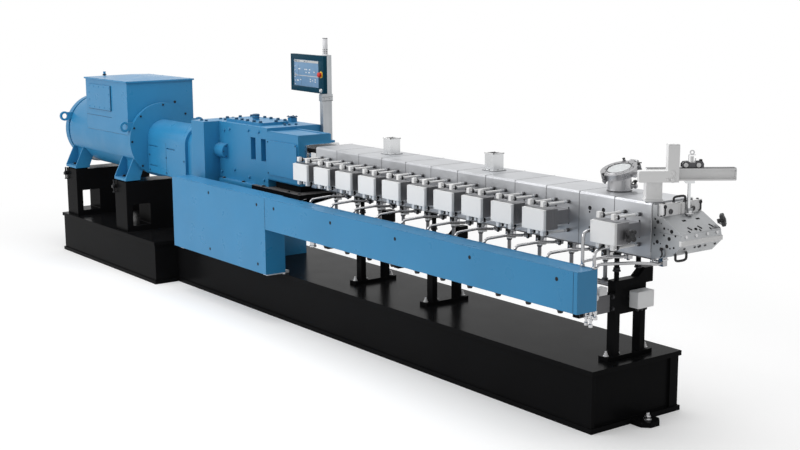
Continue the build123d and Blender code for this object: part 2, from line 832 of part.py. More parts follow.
# Barrel supports: a base plate, two posts, a deep cross beam with a horn on
# its far end, and columns under the saddle. An arm carries the cable duct.
# The return tube passes through the beams it reaches.
beam_bottom_z = beam_crown_z - beam_height
post_bottom_z = base_height + support_plate_thickness
arm_bottom_z = beam_bottom_z + duct_arm_rise
arm_top_z = arm_bottom_z + duct_arm_height
supply_z = arm_top_z + supply_rise
support_names = ["rear", "middle", "front"]
for name, support_offset in zip(support_names, support_offsets):
    support_x = barrel_start_x + support_offset
    post_x = (support_x - post_length / 2, support_x + post_length / 2)
    with BuildPart() as support:
        plate_x = (support_x - support_plate_length / 2, support_x + support_plate_length / 2)
        block(plate_x, (-support_plate_width / 2, support_plate_width / 2), (base_height, post_bottom_z))
        for post_near_y in (-beam_half_width, beam_half_width - post_width):
            block(post_x, (post_near_y, post_near_y + post_width), (post_bottom_z, beam_bottom_z))
        with BuildSketch(Plane.YZ.offset(post_x[0])):
            with BuildLine():
                Polyline(
                    (-beam_half_width, beam_bottom_z),
                    (-beam_half_width, beam_crown_z),
                    (horn_foot_y, beam_crown_z),
                    (horn_knee_y, beam_crown_z + horn_rise),
                    (horn_outer_y, beam_crown_z + horn_rise),
                    (horn_outer_y, beam_crown_z + horn_rise - horn_height),
                    (beam_half_width, beam_crown_z + horn_rise - horn_height),
                    (beam_half_width, beam_bottom_z),
                    close=True,
                )
            make_face()
        extrude(amount=post_length)
        if support_x < return_end_x:
            hole_start = (post_x[0], return_y, return_z)
            rod(hole_start, (1, 0, 0), post_length, return_radius + seat_gap, mode=Mode.SUBTRACT)
        saddle_bottom_z = barrel_bottom_z - saddle_thickness
        for column_y in (-column_offset, column_offset):
            rod((support_x, column_y, beam_crown_z), (0, 0, 1), saddle_bottom_z - beam_crown_z, column_radius)
        saddle_x = (support_x - saddle_length / 2, support_x + saddle_length / 2)
        block(saddle_x, (-saddle_half_width, saddle_half_width), (saddle_bottom_z, barrel_bottom_z))
        arm_x = (post_x[1] - duct_arm_width, post_x[1])
        block(arm_x, (duct_near_y + duct_depth, -beam_half_width), (arm_bottom_z, arm_top_z))
        cradle_y = (tube_y - supply_radius, tube_y + supply_radius)
        block(arm_x, cradle_y, (arm_top_z, supply_z - supply_radius - seat_gap))
    support.part.label = f"barrel_support_{name}"
    export_step(support.part, f"parts/barrel_support_{name}.step")

# Junction box on the front support's beam
with BuildPart() as junction_box:
    junction_z = (beam_bottom_z + junction_rise, beam_bottom_z + junction_rise + junction_height)
    junction_x = barrel_start_x + support_offsets[-1] + post_length / 2
    junction_y = (junction_near_y, junction_near_y + junction_width)
    block((junction_x, junction_x + junction_length), junction_y, junction_z)
    fillet(junction_box.edges().filter_by(Axis.X), stem_radius)
junction_box.part.label = "junction_box"
export_step(junction_box.part, "parts/junction_box.step")

# Terminal boxes on the near side of the barrel, each with a neck to the
# section and a front cover, and two stems over and under it that reach to the
# barrel.
box_top_z = box_bottom_z + box_height
box_far_y = box_front_y + box_depth
box_body_y = box_front_y + box_cover_depth
box_center_z = box_bottom_z + box_height / 2
box_indexes = [index for index in range(section_count) if index != vent_index]
with BuildPart() as terminal_boxes:
    for index in box_indexes:
        box_x = section_center(index)
        box_x_limits = (box_x - box_width / 2, box_x + box_width / 2)
        block(box_x_limits, (box_body_y, box_far_y), (box_bottom_z, box_top_z))
        block(
            (box_x - box_neck_width / 2, box_x + box_neck_width / 2),
            (box_far_y, -barrel_half_width),
            (box_center_z - box_neck_height / 2, box_center_z + box_neck_height / 2),
        )
terminal_boxes.part.label = "terminal_boxes"
export_step(terminal_boxes.part, "parts/terminal_boxes.step")

with BuildPart() as terminal_box_covers:
    for index in box_indexes:
        with BuildSketch(Plane.XZ.offset(-box_body_y)):
            with Locations((section_center(index), box_center_z)):
                RectangleRounded(box_width, box_height, screen_recess)
        extrude(amount=box_cover_depth)
terminal_box_covers.part.label = "terminal_box_covers"
export_step(terminal_box_covers.part, "parts/terminal_box_covers.step")

with BuildPart() as barrel_stems:
    for index in box_indexes:
        for stem_x in (section_center(index) - stem_offset, section_center(index) + stem_offset):
            for stem_z in (box_bottom_z - stem_drop, box_top_z + stem_rise):
                stem_start = (stem_x, stem_start_y, stem_z)
                rod(stem_start, (0, 1, 0), -barrel_half_width - stem_start_y, stem_radius)
                rod(stem_start, (0, 1, 0), stem_collar_length, stem_collar_radius)
barrel_stems.part.label = "barrel_stems"
export_step(barrel_stems.part, "parts/barrel_stems.step")

# Feed sockets: open square chutes with a foot flange
with BuildPart() as feed_sockets:
    for index in socket_indexes:
        with BuildSketch(Plane.XY.offset(barrel_top_z)):
            with Locations((section_center(index), socket_y)):
                Rectangle(socket_size + 2 * socket_flange, socket_size + 2 * socket_flange)
                Rectangle(socket_size - 2 * socket_wall, socket_size - 2 * socket_wall, mode=Mode.SUBTRACT)
        extrude(amount=socket_flange_thickness)
        with BuildSketch(Plane.XY.offset(barrel_top_z)):
            with Locations((section_center(index), socket_y)):
                Rectangle(socket_size, socket_size)
                Rectangle(socket_size - 2 * socket_wall, socket_size - 2 * socket_wall, mode=Mode.SUBTRACT)
        extrude(amount=socket_height)
feed_sockets.part.label = "feed_sockets"
export_step(feed_sockets.part, "parts/feed_sockets.step")

# Vent dome: a round neck cut off on the slant, with a flange on the slanted
# end that carries the hinge ears of the lid and two clamp ears.
vent_x = section_center(vent_index)
vent_normal = (0, -math.sin(math.radians(vent_tilt)), math.cos(math.radians(vent_tilt)))
vent_plane = Plane(origin=(vent_x, vent_y, vent_axis_z), x_dir=(1, 0, 0), z_dir=vent_normal)
hinge_height = lid_seat_gap + lid_thickness / 2
with BuildPart() as vent_dome:
    with BuildSketch(Plane.XY.offset(barrel_top_z)):
        with Locations((vent_x, vent_y)):
            Circle(vent_radius)
    extrude(amount=2 * (vent_axis_z - barrel_top_z))
    with BuildSketch(vent_plane):
        Rectangle(6 * vent_radius, 6 * vent_radius)
    extrude(amount=4 * vent_radius, mode=Mode.SUBTRACT)
    with BuildSketch(vent_plane.offset(-vent_flange_thickness)):
        Circle(vent_flange_radius)
        for ear_x in (-hinge_ear_offset, hinge_ear_offset):
            with Locations((ear_x, hinge_reach / 2)):
                Rectangle(hinge_ear_width, hinge_reach)
        with Locations((clamp_reach / 2, 0)):
            Rectangle(clamp_reach, clamp_ear_width)
    extrude(amount=vent_flange_thickness)
    for ear_x in (-hinge_ear_offset, hinge_ear_offset):
        with BuildSketch(Plane(
            origin=vent_plane.from_local_coords((ear_x - hinge_ear_width / 2, hinge_reach, hinge_height)),
            x_dir=vent_plane.y_dir,
            z_dir=vent_plane.x_dir,
        )):
            Circle(hinge_radius)
            with Locations((0, -(hinge_height + vent_flange_thickness) / 2)):
                Rectangle(2 * hinge_radius, hinge_height + vent_flange_thickness)
        extrude(amount=hinge_ear_width)
    with BuildSketch(Plane(
        origin=vent_plane.from_local_coords((-hinge_ear_offset, hinge_reach, hinge_height)),
        x_dir=vent_plane.y_dir,
        z_dir=vent_plane.x_dir,
    )):
        Circle(hinge_pin_radius)
    extrude(amount=2 * hinge_ear_offset)
    with BuildSketch(Plane.XY.offset(barrel_top_z)):
        with Locations((vent_x, vent_y)):
            Circle(vent_radius - vent_wall)
    extrude(amount=2 * (vent_axis_z - barrel_top_z), mode=Mode.SUBTRACT)
vent_dome.part.label = "vent_dome"
export_step(vent_dome.part, "parts/vent_dome.step")

# Vent lid: a ring with a recess for the sight glass and a hinge lug
lid_plane = vent_plane.offset(lid_seat_gap)
with BuildPart() as vent_lid:
    with BuildSketch(lid_plane):
        Circle(vent_flange_radius)
        with Locations((0, hinge_reach / 2)):
            Rectangle(hinge_lug_width, hinge_reach)
    extrude(amount=lid_thickness)
    with BuildSketch(Plane(
        origin=vent_plane.from_local_coords((-hinge_lug_width / 2, hinge_reach, hinge_height)),
        x_dir=vent_plane.y_dir,
        z_dir=vent_plane.x_dir,
    )):
        Circle(hinge_radius)
    extrude(amount=hinge_lug_width)
    with BuildSketch(lid_plane):
        Circle(vent_radius - vent_wall)
    extrude(amount=lid_thickness, mode=Mode.SUBTRACT)
    with BuildSketch(lid_plane.offset(lid_thickness - glass_thickness)):
        Circle(lid_glass_radius)
    extrude(amount=glass_thickness, mode=Mode.SUBTRACT)
    with BuildSketch(Plane(
        origin=vent_plane.from_local_coords((-hinge_lug_width, hinge_reach, hinge_height)),
        x_dir=vent_plane.y_dir,
        z_dir=vent_plane.x_dir,
    )):
        Circle(hinge_pin_radius + seat_gap)
    extrude(amount=2 * hinge_lug_width, mode=Mode.SUBTRACT)
vent_lid.part.label = "vent_lid"
export_step(vent_lid.part, "parts/vent_lid.step")

with BuildPart() as sight_glass:
    with BuildSketch(lid_plane.offset(lid_thickness - glass_thickness)):
        Circle(lid_glass_radius - seat_gap)
    extrude(amount=glass_thickness)
sight_glass.part.label = "sight_glass"
export_step(sight_glass.part, "parts/sight_glass.step")

# Supply tube behind the duct. One cooling tube for each section but the first
# rises from it, arches over and ends at a coupling under the barrel. A longer
# one ends at a coupling under the die head.
supply_top_z = supply_z + supply_radius
coupling_far_y = coupling_near_y + coupling_size
die_rise = (die_bottom_z - barrel_bottom_z) / die_bottom_length
die_coupling_x = barrel_end_x + coupling_size
section_joints = [barrel_start_x + index * section_length for index in range(1, section_count)]
tube_places = [(joint_x - tube_inset, tube_reach) for joint_x in section_joints]
die_tube_x = barrel_end_x - 7 * tube_inset
tube_places.append((die_tube_x, die_coupling_x + coupling_size / 2 - die_tube_x))
with BuildPart() as cooling_tubes:
    for tube_x, reach in tube_places:
        with BuildLine() as tube_path:
            FilletPolyline(
                (tube_x, tube_y, supply_top_z),
                (tube_x, tube_y, tube_crown_z),
                (tube_x + 2 * reach / 3, (tube_y + coupling_near_y) / 2, tube_arch_z),
                (tube_x + reach, coupling_near_y - tube_bend_radius, tube_end_z),
                (tube_x + reach, coupling_near_y, tube_end_z),
                radius=tube_bend_radius,
            )
        with BuildSketch(Plane(origin=(tube_x, tube_y, supply_top_z), z_dir=(0, 0, 1))):
            Circle(tube_radius)
        sweep(path=tube_path.line)
cooling_tubes.part.label = "cooling_tubes"
export_step(cooling_tubes.part, "parts/cooling_tubes.step")

with BuildPart() as cooling_supply:
    supply_end_x = die_tube_x + tube_radius
    rod((supply_start_x, tube_y, supply_z), (1, 0, 0), supply_end_x - supply_start_x, supply_radius)
    for tube_x, reach in tube_places:
        rod((tube_x, tube_y, supply_z), (0, 0, 1), supply_radius, tube_radius)
cooling_supply.part.label = "cooling_supply"
export_step(cooling_supply.part, "parts/cooling_supply.step")

with BuildPart() as cooling_couplings:
    for joint_x in section_joints:
        coupling_x = joint_x - tube_inset + tube_reach
        block(
            (coupling_x - coupling_size / 2, coupling_x + coupling_size / 2),
            (coupling_near_y, coupling_far_y),
            (barrel_bottom_z - coupling_drop, barrel_bottom_z),
        )
    with BuildSketch(Plane.XZ.offset(-coupling_near_y)):
        with BuildLine():
            Polyline(
                (die_coupling_x, barrel_bottom_z - coupling_drop),
                (die_coupling_x, barrel_bottom_z + die_rise * coupling_size),
                (die_coupling_x + coupling_size, barrel_bottom_z + 2 * die_rise * coupling_size),
                (die_coupling_x + coupling_size, barrel_bottom_z - coupling_drop),
                close=True,
            )
        make_face()
    extrude(amount=-coupling_size)
cooling_couplings.part.label = "cooling_couplings"
export_step(cooling_couplings.part, "parts/cooling_couplings.step")

# Valves under the sections, and risers down to the return tube
riser_indexes = range(section_count - 1)
valve_bottom_z = barrel_bottom_z - valve_height
with BuildPart() as cooling_valves:
    for index in riser_indexes:
        riser_x = section_center(index)
        block(
            (riser_x - valve_size / 2, riser_x + valve_size / 2),
            (return_y + valve_shift - valve_size / 2, return_y + valve_shift + valve_size / 2),
            (valve_bottom_z, barrel_bottom_z),
        )
cooling_valves.part.label = "cooling_valves"
export_step(cooling_valves.part, "parts/cooling_valves.step")

with BuildPart() as cooling_return:
    rod((return_start_x, return_y, return_z), (1, 0, 0), return_end_x - return_start_x, return_radius)
    for index in riser_indexes:
        riser_start = (section_center(index), return_y, return_z)
        rod(riser_start, (0, 0, 1), valve_bottom_z - return_z, riser_radius)
cooling_return.part.label = "cooling_return"
export_step(cooling_return.part, "parts/cooling_return.step")

# Die head: a back plate and a body with a sloped front and a nose
die_shelf_end_x = barrel_end_x + die_shelf_length
with BuildPart() as die_head:
    with BuildSketch(Plane.XZ.offset(die_half_width)):
        with BuildLine():
            Polyline(
                (barrel_end_x, barrel_bottom_z),
                (barrel_end_x, die_back_top_z),
                (barrel_end_x + die_back_thickness, die_back_top_z),
                (barrel_end_x + die_back_thickness, die_shelf_z),
                (die_shelf_end_x, die_shelf_z),
                (barrel_end_x + die_slope_length, die_slope_z),
                (barrel_end_x + die_lip_length, die_lip_z),
                (barrel_end_x + die_bottom_length, die_bottom_z),
                close=True,
            )
        make_face()
    extrude(amount=-2 * die_half_width)
    lug_x = (die_shelf_end_x - die_lug_size / 2, die_shelf_end_x + die_lug_size / 2)
    lug_y = (die_lug_y - die_lug_size / 2, die_lug_y + die_lug_size / 2)
    block(lug_x, lug_y, (die_slope_z, die_lug_top_z))
    for hole_offset, hole_rise in die_hole_places:
        hole_start = (barrel_end_x + hole_offset, -die_half_width, screw_axis_z + hole_rise)
        rod(hole_start, (0, 1, 0), die_hole_depth, die_hole_radius, mode=Mode.SUBTRACT)
die_head.part.label = "die_head"
export_step(die_head.part, "parts/die_head.step")

# Clamp blocks on the die's top shelf
with BuildPart() as die_clamps:
    for clamp_y, clamp_width in zip(clamp_ys, clamp_widths):
        clamp_x = barrel_end_x + die_back_thickness
        block(
            (clamp_x, clamp_x + clamp_depth),
            (clamp_y - clamp_width / 2, clamp_y + clamp_width / 2),
            (die_shelf_z, die_shelf_z + clamp_height),
        )
die_clamps.part.label = "die_clamps"
export_step(die_clamps.part, "parts/die_clamps.step")

# Lifting frame over the die: a post, a beam and a mast. The beam's own plane
# turns them all: x along the beam, y across it.
lift_plane = Plane(origin=(lift_x, lift_y, 0), x_dir=(1, 0, 0), z_dir=(0, 0, 1)).rotated((0, 0, lift_turn))
lift_beam_middle = (lift_beam_start + lift_beam_end) / 2
lift_beam_top_z = lift_beam_z + lift_beam_depth
mast_y = -(lift_beam_width + mast_size) / 2
with BuildPart() as lifting_frame:
    with BuildSketch(lift_plane.offset(barrel_top_z)):
        with Locations((0, lift_post_offset)):
            Rectangle(lift_post_length + 2 * lift_plate_margin, lift_post_depth + 2 * lift_plate_margin)
    extrude(amount=lift_plate_thickness)
    with BuildSketch(lift_plane.offset(barrel_top_z)):
        with Locations((0, lift_post_offset)):
            Rectangle(lift_post_length, lift_post_depth)
    extrude(amount=lift_beam_z - barrel_top_z)
    for flange_z in (lift_beam_z, lift_beam_top_z - lift_beam_flange):
        with BuildSketch(lift_plane.offset(flange_z)):
            with Locations((lift_beam_middle, 0)):
                Rectangle(lift_beam_end - lift_beam_start, lift_beam_width)
        extrude(amount=lift_beam_flange)
    with BuildSketch(lift_plane.offset(lift_beam_z)):
        with Locations((lift_beam_middle, 0)):
            Rectangle(lift_beam_end - lift_beam_start, lift_beam_web)
    extrude(amount=lift_beam_depth)
    with BuildSketch(lift_plane.offset(lift_beam_z)):
        with Locations(((sleeve_start + mast_center) / 2, mast_y)):
            Rectangle(mast_center - sleeve_start, mast_size)
    extrude(amount=mast_size)
    with BuildSketch(lift_plane.offset(lift_beam_z)):
        with Locations((mast_center, mast_y)):
            Rectangle(mast_size, mast_size)
    extrude(amount=mast_top_z - lift_beam_z)
lifting_frame.part.label = "lifting_frame"
export_step(lifting_frame.part, "parts/lifting_frame.step")

# Trolley on the beam: a cheek between two rollers, with an eye on top
with BuildPart() as lifting_trolley:
    with BuildSketch(lift_plane.offset(lift_beam_top_z + wheel_radius / 2)):
        with Locations((trolley_center, 0)):
            Rectangle(trolley_length - 2 * wheel_radius, lift_beam_width / 2)
    extrude(amount=1.5 * wheel_radius)
    for wheel_place in (-1, 1):
        wheel_offset = wheel_place * (trolley_length / 2 - wheel_radius)
        wheel_start = lift_plane.from_local_coords(
            (trolley_center + wheel_offset, -lift_beam_width / 4, lift_beam_top_z + wheel_radius)
        )
        rod(wheel_start, lift_plane.y_dir, lift_beam_width / 2, wheel_radius)
    eye_start = lift_plane.from_local_coords((trolley_center, 0, lift_beam_top_z + 2 * wheel_radius))
    rod(eye_start, (0, 0, 1), eye_stem_height, suspension_radius)
lifting_trolley.part.label = "lifting_trolley"
export_step(lifting_trolley.part, "parts/lifting_trolley.step")

# Suspension rod: a clamp plate under the beam and a rod down to the lug of
# the die head.
with BuildPart() as suspension_rod:
    with BuildSketch(lift_plane.offset(lift_beam_z)):
        with Locations((rod_place, 0)):
            Rectangle(rod_clamp_length, lift_beam_width)
    extrude(amount=-rod_clamp_thickness)
    rod_foot = lift_plane.from_local_coords((rod_place, 0, die_lug_top_z))
    rod(rod_foot, (0, 0, 1), lift_beam_z - die_lug_top_z, suspension_radius)
suspension_rod.part.label = "suspension_rod"
export_step(suspension_rod.part, "parts/suspension_rod.step")

# Operator panel post: a slotted profile on the bracket of the gearbox
with BuildPart() as panel_post:
    with BuildSketch(Plane.XY.offset(post_bracket_z + post_bracket_height)):
        with Locations((panel_post_x, panel_post_y)):
            RectangleRounded(panel_post_width, panel_post_depth, panel_post_corner)
        for end_side in (-1, 1):
            with Locations((panel_post_x, panel_post_y + end_side * (panel_post_depth - groove_depth) / 2)):
                Rectangle(groove_width, groove_depth, mode=Mode.SUBTRACT)
            for groove_y in (panel_post_y - groove_offset, panel_post_y + groove_offset):
                with Locations((panel_post_x + end_side * (panel_post_width - groove_depth) / 2, groove_y)):
                    Rectangle(groove_depth, groove_width, mode=Mode.SUBTRACT)
    extrude(amount=collar_bottom_z - post_bracket_z - post_bracket_height)
panel_post.part.label = "panel_post"
export_step(panel_post.part, "parts/panel_post.step")

# Operator panel: a collar and carrier that swivel on the post, and the panel
# with its recessed screen, turned a little towards the operator.
panel_plane = Plane(origin=(panel_post_x, panel_post_y, 0), x_dir=(1, 0, 0), z_dir=(0, 0, 1)).rotated(
    (0, 0, -panel_turn)
)
panel_far_y = -panel_post_depth / 2
panel_near_y = panel_far_y - panel_depth
panel_middle_x = panel_right_offset - panel_width / 2
panel_middle_z = panel_bottom_z + panel_height / 2
panel_top_z = panel_bottom_z + panel_height
with BuildPart() as operator_panel:
    with BuildSketch(panel_plane.offset(collar_bottom_z + swivel_gap)):
        collar_size = (panel_post_width + 2 * collar_margin, panel_post_depth + 2 * collar_margin)
        RectangleRounded(*collar_size, panel_post_corner)
    extrude(amount=collar_height)
    with BuildSketch(panel_plane.offset(collar_bottom_z + swivel_gap)):
        RectangleRounded(panel_post_width, panel_post_depth, panel_post_corner)
    extrude(amount=panel_top_z - collar_bottom_z - swivel_gap)
    with BuildSketch(panel_plane.offset(panel_bottom_z)):
        with Locations((panel_middle_x, (panel_near_y + panel_far_y) / 2)):
            RectangleRounded(panel_width, panel_depth, panel_corner)
    extrude(amount=panel_height)
    screen_x = panel_right_offset - panel_width + screen_left_margin + screen_width / 2
    with BuildSketch(Plane(
        origin=panel_plane.from_local_coords((screen_x, panel_near_y, panel_middle_z)),
        x_dir=panel_plane.x_dir,
        z_dir=-panel_plane.y_dir,
    )):
        Rectangle(screen_width, screen_height)
    extrude(amount=-screen_recess, mode=Mode.SUBTRACT)
operator_panel.part.label = "operator_panel"
export_step(operator_panel.part, "parts/operator_panel.step")

with BuildPart() as signal_light:
    rod((panel_post_x, panel_post_y, panel_top_z), (0, 0, 1), light_height, light_radius)
signal_light.part.label = "signal_light"
export_step(signal_light.part, "parts/signal_light.step")

with BuildPart() as emergency_stop:
    stop_point = panel_plane.from_local_coords((panel_right_offset - stop_inset, panel_near_y, panel_middle_z))
    rod(stop_point, -panel_plane.y_dir, stop_height, stop_radius)
emergency_stop.part.label = "emergency_stop"
export_step(emergency_stop.part, "parts/emergency_stop.step")
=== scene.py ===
import itertools
import logging
import math
from dataclasses import dataclass
from enum import Enum
from typing import Sequence

import bmesh
import bpy
from mathutils import Matrix, Vector


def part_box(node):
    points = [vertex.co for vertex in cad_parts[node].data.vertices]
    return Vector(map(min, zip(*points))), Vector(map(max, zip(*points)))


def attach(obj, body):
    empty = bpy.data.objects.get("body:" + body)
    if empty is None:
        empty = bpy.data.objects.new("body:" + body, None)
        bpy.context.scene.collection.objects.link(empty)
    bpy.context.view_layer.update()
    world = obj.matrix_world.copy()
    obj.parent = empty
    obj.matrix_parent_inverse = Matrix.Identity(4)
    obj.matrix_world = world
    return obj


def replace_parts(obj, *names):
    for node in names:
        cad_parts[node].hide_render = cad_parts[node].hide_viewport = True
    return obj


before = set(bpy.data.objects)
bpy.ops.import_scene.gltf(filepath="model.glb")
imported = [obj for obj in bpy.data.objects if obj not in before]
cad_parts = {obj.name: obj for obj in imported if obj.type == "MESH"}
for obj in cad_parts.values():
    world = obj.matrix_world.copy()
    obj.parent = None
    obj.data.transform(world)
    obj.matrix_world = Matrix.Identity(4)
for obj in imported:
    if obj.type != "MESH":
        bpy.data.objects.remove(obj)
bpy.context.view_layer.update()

LOG = logging.getLogger("extruder")
Point = Sequence[float]
Points = Sequence[Point]
Color = tuple[float, float, float]
Profile = Sequence[tuple[float, float]]
Boxes = Sequence[Sequence[float]]
Socket = bpy.types.NodeSocket
Feed = float | Point | Socket

MILLIMETRE = 0.001
BEVELLED_ANGLE = 0.6
SMOOTHED_ANGLE = math.radians(34)
UP, DOWN = (0, 0, 1), (0, 0, -1)
NEAR, FAR = (0, -1, 0), (0, 1, 0)
FORWARD, BACKWARD = (1, 0, 0), (-1, 0, 0)


class Wiring:
    """The nodes and links of one shader tree, with small helpers to wire them."""

    def __init__(self, tree: bpy.types.NodeTree) -> None:
        """Start on an emptied tree."""
        self.tree = tree
        tree.nodes.clear()

    def add(self, kind: str, feeds: dict[str | int, Feed] | None = None,
            **settings: object) -> bpy.types.Node:
        """Place a node.

        Args:
            kind: its type, without the words that every shader node's type starts with.
            feeds: value or socket for its inputs, by name or number.
            **settings: its own properties.

        Returns:
            The node.
        """
        node = self.tree.nodes.new(kind if kind.startswith("Node") else "ShaderNode" + kind)
        for name, value in settings.items():
            setattr(node, name, value)
        for label, feed in (feeds or {}).items():
            socket = node.inputs[label]
            if isinstance(feed, Socket):
                self.tree.links.new(feed, socket)
            else:
                socket.default_value = (*feed, 1.0) if socket.type == "RGBA" else feed
        return node

    def math(self, operation: str, first: Feed, second: Feed, use_clamp: bool = False) -> Socket:
        """Join two values by a sum."""
        node = self.add("Math", {0: first, 1: second}, operation=operation, use_clamp=use_clamp)
        return node.outputs["Value"]

    def ramp(self, value: Socket, low: float, high: float, start: Feed = 0.0, end: Feed = 1.0) -> Socket:
        """Spread the range from low to high over the range from start to end."""
        feeds = {"Value": value, "From Min": low, "From Max": high, "To Min": start, "To Max": end}
        return self.add("MapRange", feeds).outputs["Result"]

    def noise(self, scale: Feed, detail: float, roughness: float = 0.5,
              stretch: Socket | None = None) -> Socket:
        """Place noise in the object's own space.

        Args:
            scale: its scale.
            detail: its octaves.
            roughness: weight of the fine octaves.
            stretch: factor on each axis, or None.

        Returns:
            The noise's socket.
        """
        place = self.add("TexCoord").outputs["Object"]
        if stretch is not None:
            place = self.add("VectorMath", {0: place, 1: stretch}, operation="MULTIPLY").outputs["Vector"]
        feeds = {"Vector": place, "Scale": scale, "Detail": detail, "Roughness": roughness}
        return self.add("TexNoise", feeds).outputs["Fac"]


class EffectGroup(Wiring):
    """A shared shader group with float inputs and one output."""

    def __init__(self, name: str, output: str, **inputs: float) -> None:
        """Start the group.

        Args:
            name: name of the group.
            output: name of its output.
            **inputs: default value of each input, by name.
        """
        super().__init__(bpy.data.node_groups.new(name, "ShaderNodeTree"))
        sockets = self.tree.interface
        for label, value in inputs.items():
            socket = sockets.new_socket(name=label, in_out="INPUT", socket_type="NodeSocketFloat")
            socket.default_value = value
        sockets.new_socket(name=output, in_out="OUTPUT", socket_type="NodeSocketFloat")
        self.given = self.add("NodeGroupInput").outputs

    def put_out(self, value: Socket) -> bpy.types.NodeTree:
        """Put a value out and give the group."""
        self.add("NodeGroupOutput", {0: value})
        return self.tree

    def put_out_mask(self, first: Socket, second: Socket) -> bpy.types.NodeTree:
        """Put out the share that two masks have in common, times the amount, and give the group."""
        both = self.math("MULTIPLY", first, second)
        return self.put_out(self.math("MULTIPLY", both, self.given["Amount"], use_clamp=True))


class ShaderGroups:
    """Shader node groups that several finishes share."""

    def __init__(self) -> None:
        """Build every group once."""
        self.edge_wear = self._edge_wear()
        self.mottle = self._mottle()
        self.fine_grain = self._fine_grain()
        self.dust = self._dust()

    @staticmethod
    def _edge_wear() -> bpy.types.NodeTree:
        """Build the group whose mask is high along broken, rubbed edges."""
        group = EffectGroup("edge_wear", "Mask", Width=0.004, Amount=1.0)
        rounded = group.add("Bevel", {"Radius": group.given["Width"]}, samples=4).outputs["Normal"]
        real = group.add("NewGeometry").outputs["Normal"]
        facing = group.add("VectorMath", {0: rounded, 1: real}, operation="DOT_PRODUCT").outputs["Value"]
        edges = group.ramp(facing, 0.995, 0.80)
        return group.put_out_mask(edges, group.ramp(group.noise(38.0, 4.0), 0.42, 0.66))

    @staticmethod
    def _mottle() -> bpy.types.NodeTree:
        """Build the group of broad, soft clouds that vary colour and gloss."""
        group = EffectGroup("mottle", "Value", Scale=3.0, Low=0.0, High=1.0)
        noise = group.noise(group.given["Scale"], 5.0, 0.55)
        return group.put_out(group.ramp(noise, 0.3, 0.7, group.given["Low"], group.given["High"]))

    @staticmethod
    def _fine_grain() -> bpy.types.NodeTree:
        """Build the group of fine relief, stretched by a factor on each axis."""
        group = EffectGroup("fine_grain", "Height", X=300.0, Y=300.0, Z=300.0)
        stretch = group.add("CombineXYZ", {axis: group.given[axis] for axis in "XYZ"}).outputs["Vector"]
        return group.put_out(group.noise(1.0, 3.0, stretch=stretch))

    @staticmethod
    def _dust() -> bpy.types.NodeTree:
        """Build the group whose mask is high on faces that look up."""
        group = EffectGroup("dust", "Mask", Amount=0.3)
        normal = group.add("NewGeometry").outputs["Normal"]
        upward = group.add("SeparateXYZ", {"Vector": normal}).outputs["Z"]
        return group.put_out_mask(group.ramp(upward, 0.55, 1.0), group.noise(7.0, 6.0))


class SurfaceGraph(Wiring):
    """The node graph of one material around its Principled shader."""

    def __init__(self, name: str, groups: ShaderGroups) -> None:
        """Start a material.

        Args:
            name: name of the material.
            groups: the shared shader groups.
        """
        self.material = bpy.data.materials.new(name)
        self.material.use_nodes = True
        super().__init__(self.material.node_tree)
        self.groups = groups
        self.shader = self.add("BsdfPrincipled")
        self.add("OutputMaterial", {"Surface": self.shader.outputs["BSDF"]})

    def effect(self, group: bpy.types.NodeTree, **values: float) -> Socket:
        """Place a shared group with its own values and give its output."""
        return self.add("Group", values, node_tree=group).outputs[0]

    def mix(self, mask: Socket, first: Feed, second: Color) -> Socket:
        """Mix a colour towards another by a mask."""
        return self.add("Mix", {"Factor": mask, "A": first, "B": second}, data_type="RGBA").outputs["Result"]

    def clouds(self, color: Color, shade: float, scale: float) -> Socket:
        """Give a colour with soft, darker clouds."""
        mask = self.effect(self.groups.mottle, Scale=scale)
        return self.mix(mask, color, tuple(channel * shade for channel in color))

    def drive(self, label: str, value: Socket) -> None:
        """Link a socket to an input of the shader."""
        self.tree.links.new(value, self.shader.inputs[label])

    def keep(self, label: str, value: float) -> None:
        """Set a constant on an input of the shader."""
        self.shader.inputs[label].default_value = value


class Grain(Enum):
    """Relief of a surface, as the stretch of its noise on each axis."""

    ACROSS = (260.0, 4.0, 260.0)
    UPRIGHT = (260.0, 260.0, 4.0)
    SPRAYED = (420.0, 420.0, 420.0)
    CAST = (160.0, 160.0, 160.0)
    PEBBLED = (900.0, 900.0, 900.0)


@dataclass(frozen=True)
class Finish:
    """An opaque finish: a clouded colour, uneven gloss and a fine relief over softened edges."""

    name: str
    color: Color
    roughness: float = 0.3
    slot: str = "bright_steel"
    shade: float = 0.82
    cloud_scale: float = 2.6
    gloss_scale: float = 9.0
    gloss_range: tuple[float, float] = (0.8, 1.25)
    grain: Grain = Grain.ACROSS
    relief: float = 0.12
    relief_depth: float = 0.0003
    edge_radius: float = 0.0008
    metallic: float = 1.0
    specular: float = 0.5

    def build(self, groups: ShaderGroups) -> bpy.types.Material:
        """Build the material.

        Args:
            groups: the shared shader groups.

        Returns:
            The material.
        """
        graph = SurfaceGraph(self.name, groups)
        color = graph.clouds(self.color, self.shade, self.cloud_scale)
        graph.drive("Base Color", self.overlay(graph, color))
        graph.keep("Metallic", self.metallic)
        graph.keep("Specular IOR Level", self.specular)
        low, high = (self.roughness * share for share in self.gloss_range)
        graph.drive("Roughness", graph.effect(groups.mottle, Scale=self.gloss_scale, Low=low, High=high))
        height = graph.effect(groups.fine_grain, **dict(zip("XYZ", self.grain.value)))
        rounded = graph.add("Bevel", {"Radius": self.edge_radius}, samples=4).outputs["Normal"]
        feeds = {"Height": height, "Normal": rounded, "Strength": self.relief, "Distance": self.relief_depth}
        graph.drive("Normal", graph.add("Bump", feeds).outputs["Normal"])
        return graph.material

    def overlay(self, graph: SurfaceGraph, color: Socket) -> Socket:
        """Give the colour with what lies on it, which is nothing on bare metal."""
        return color


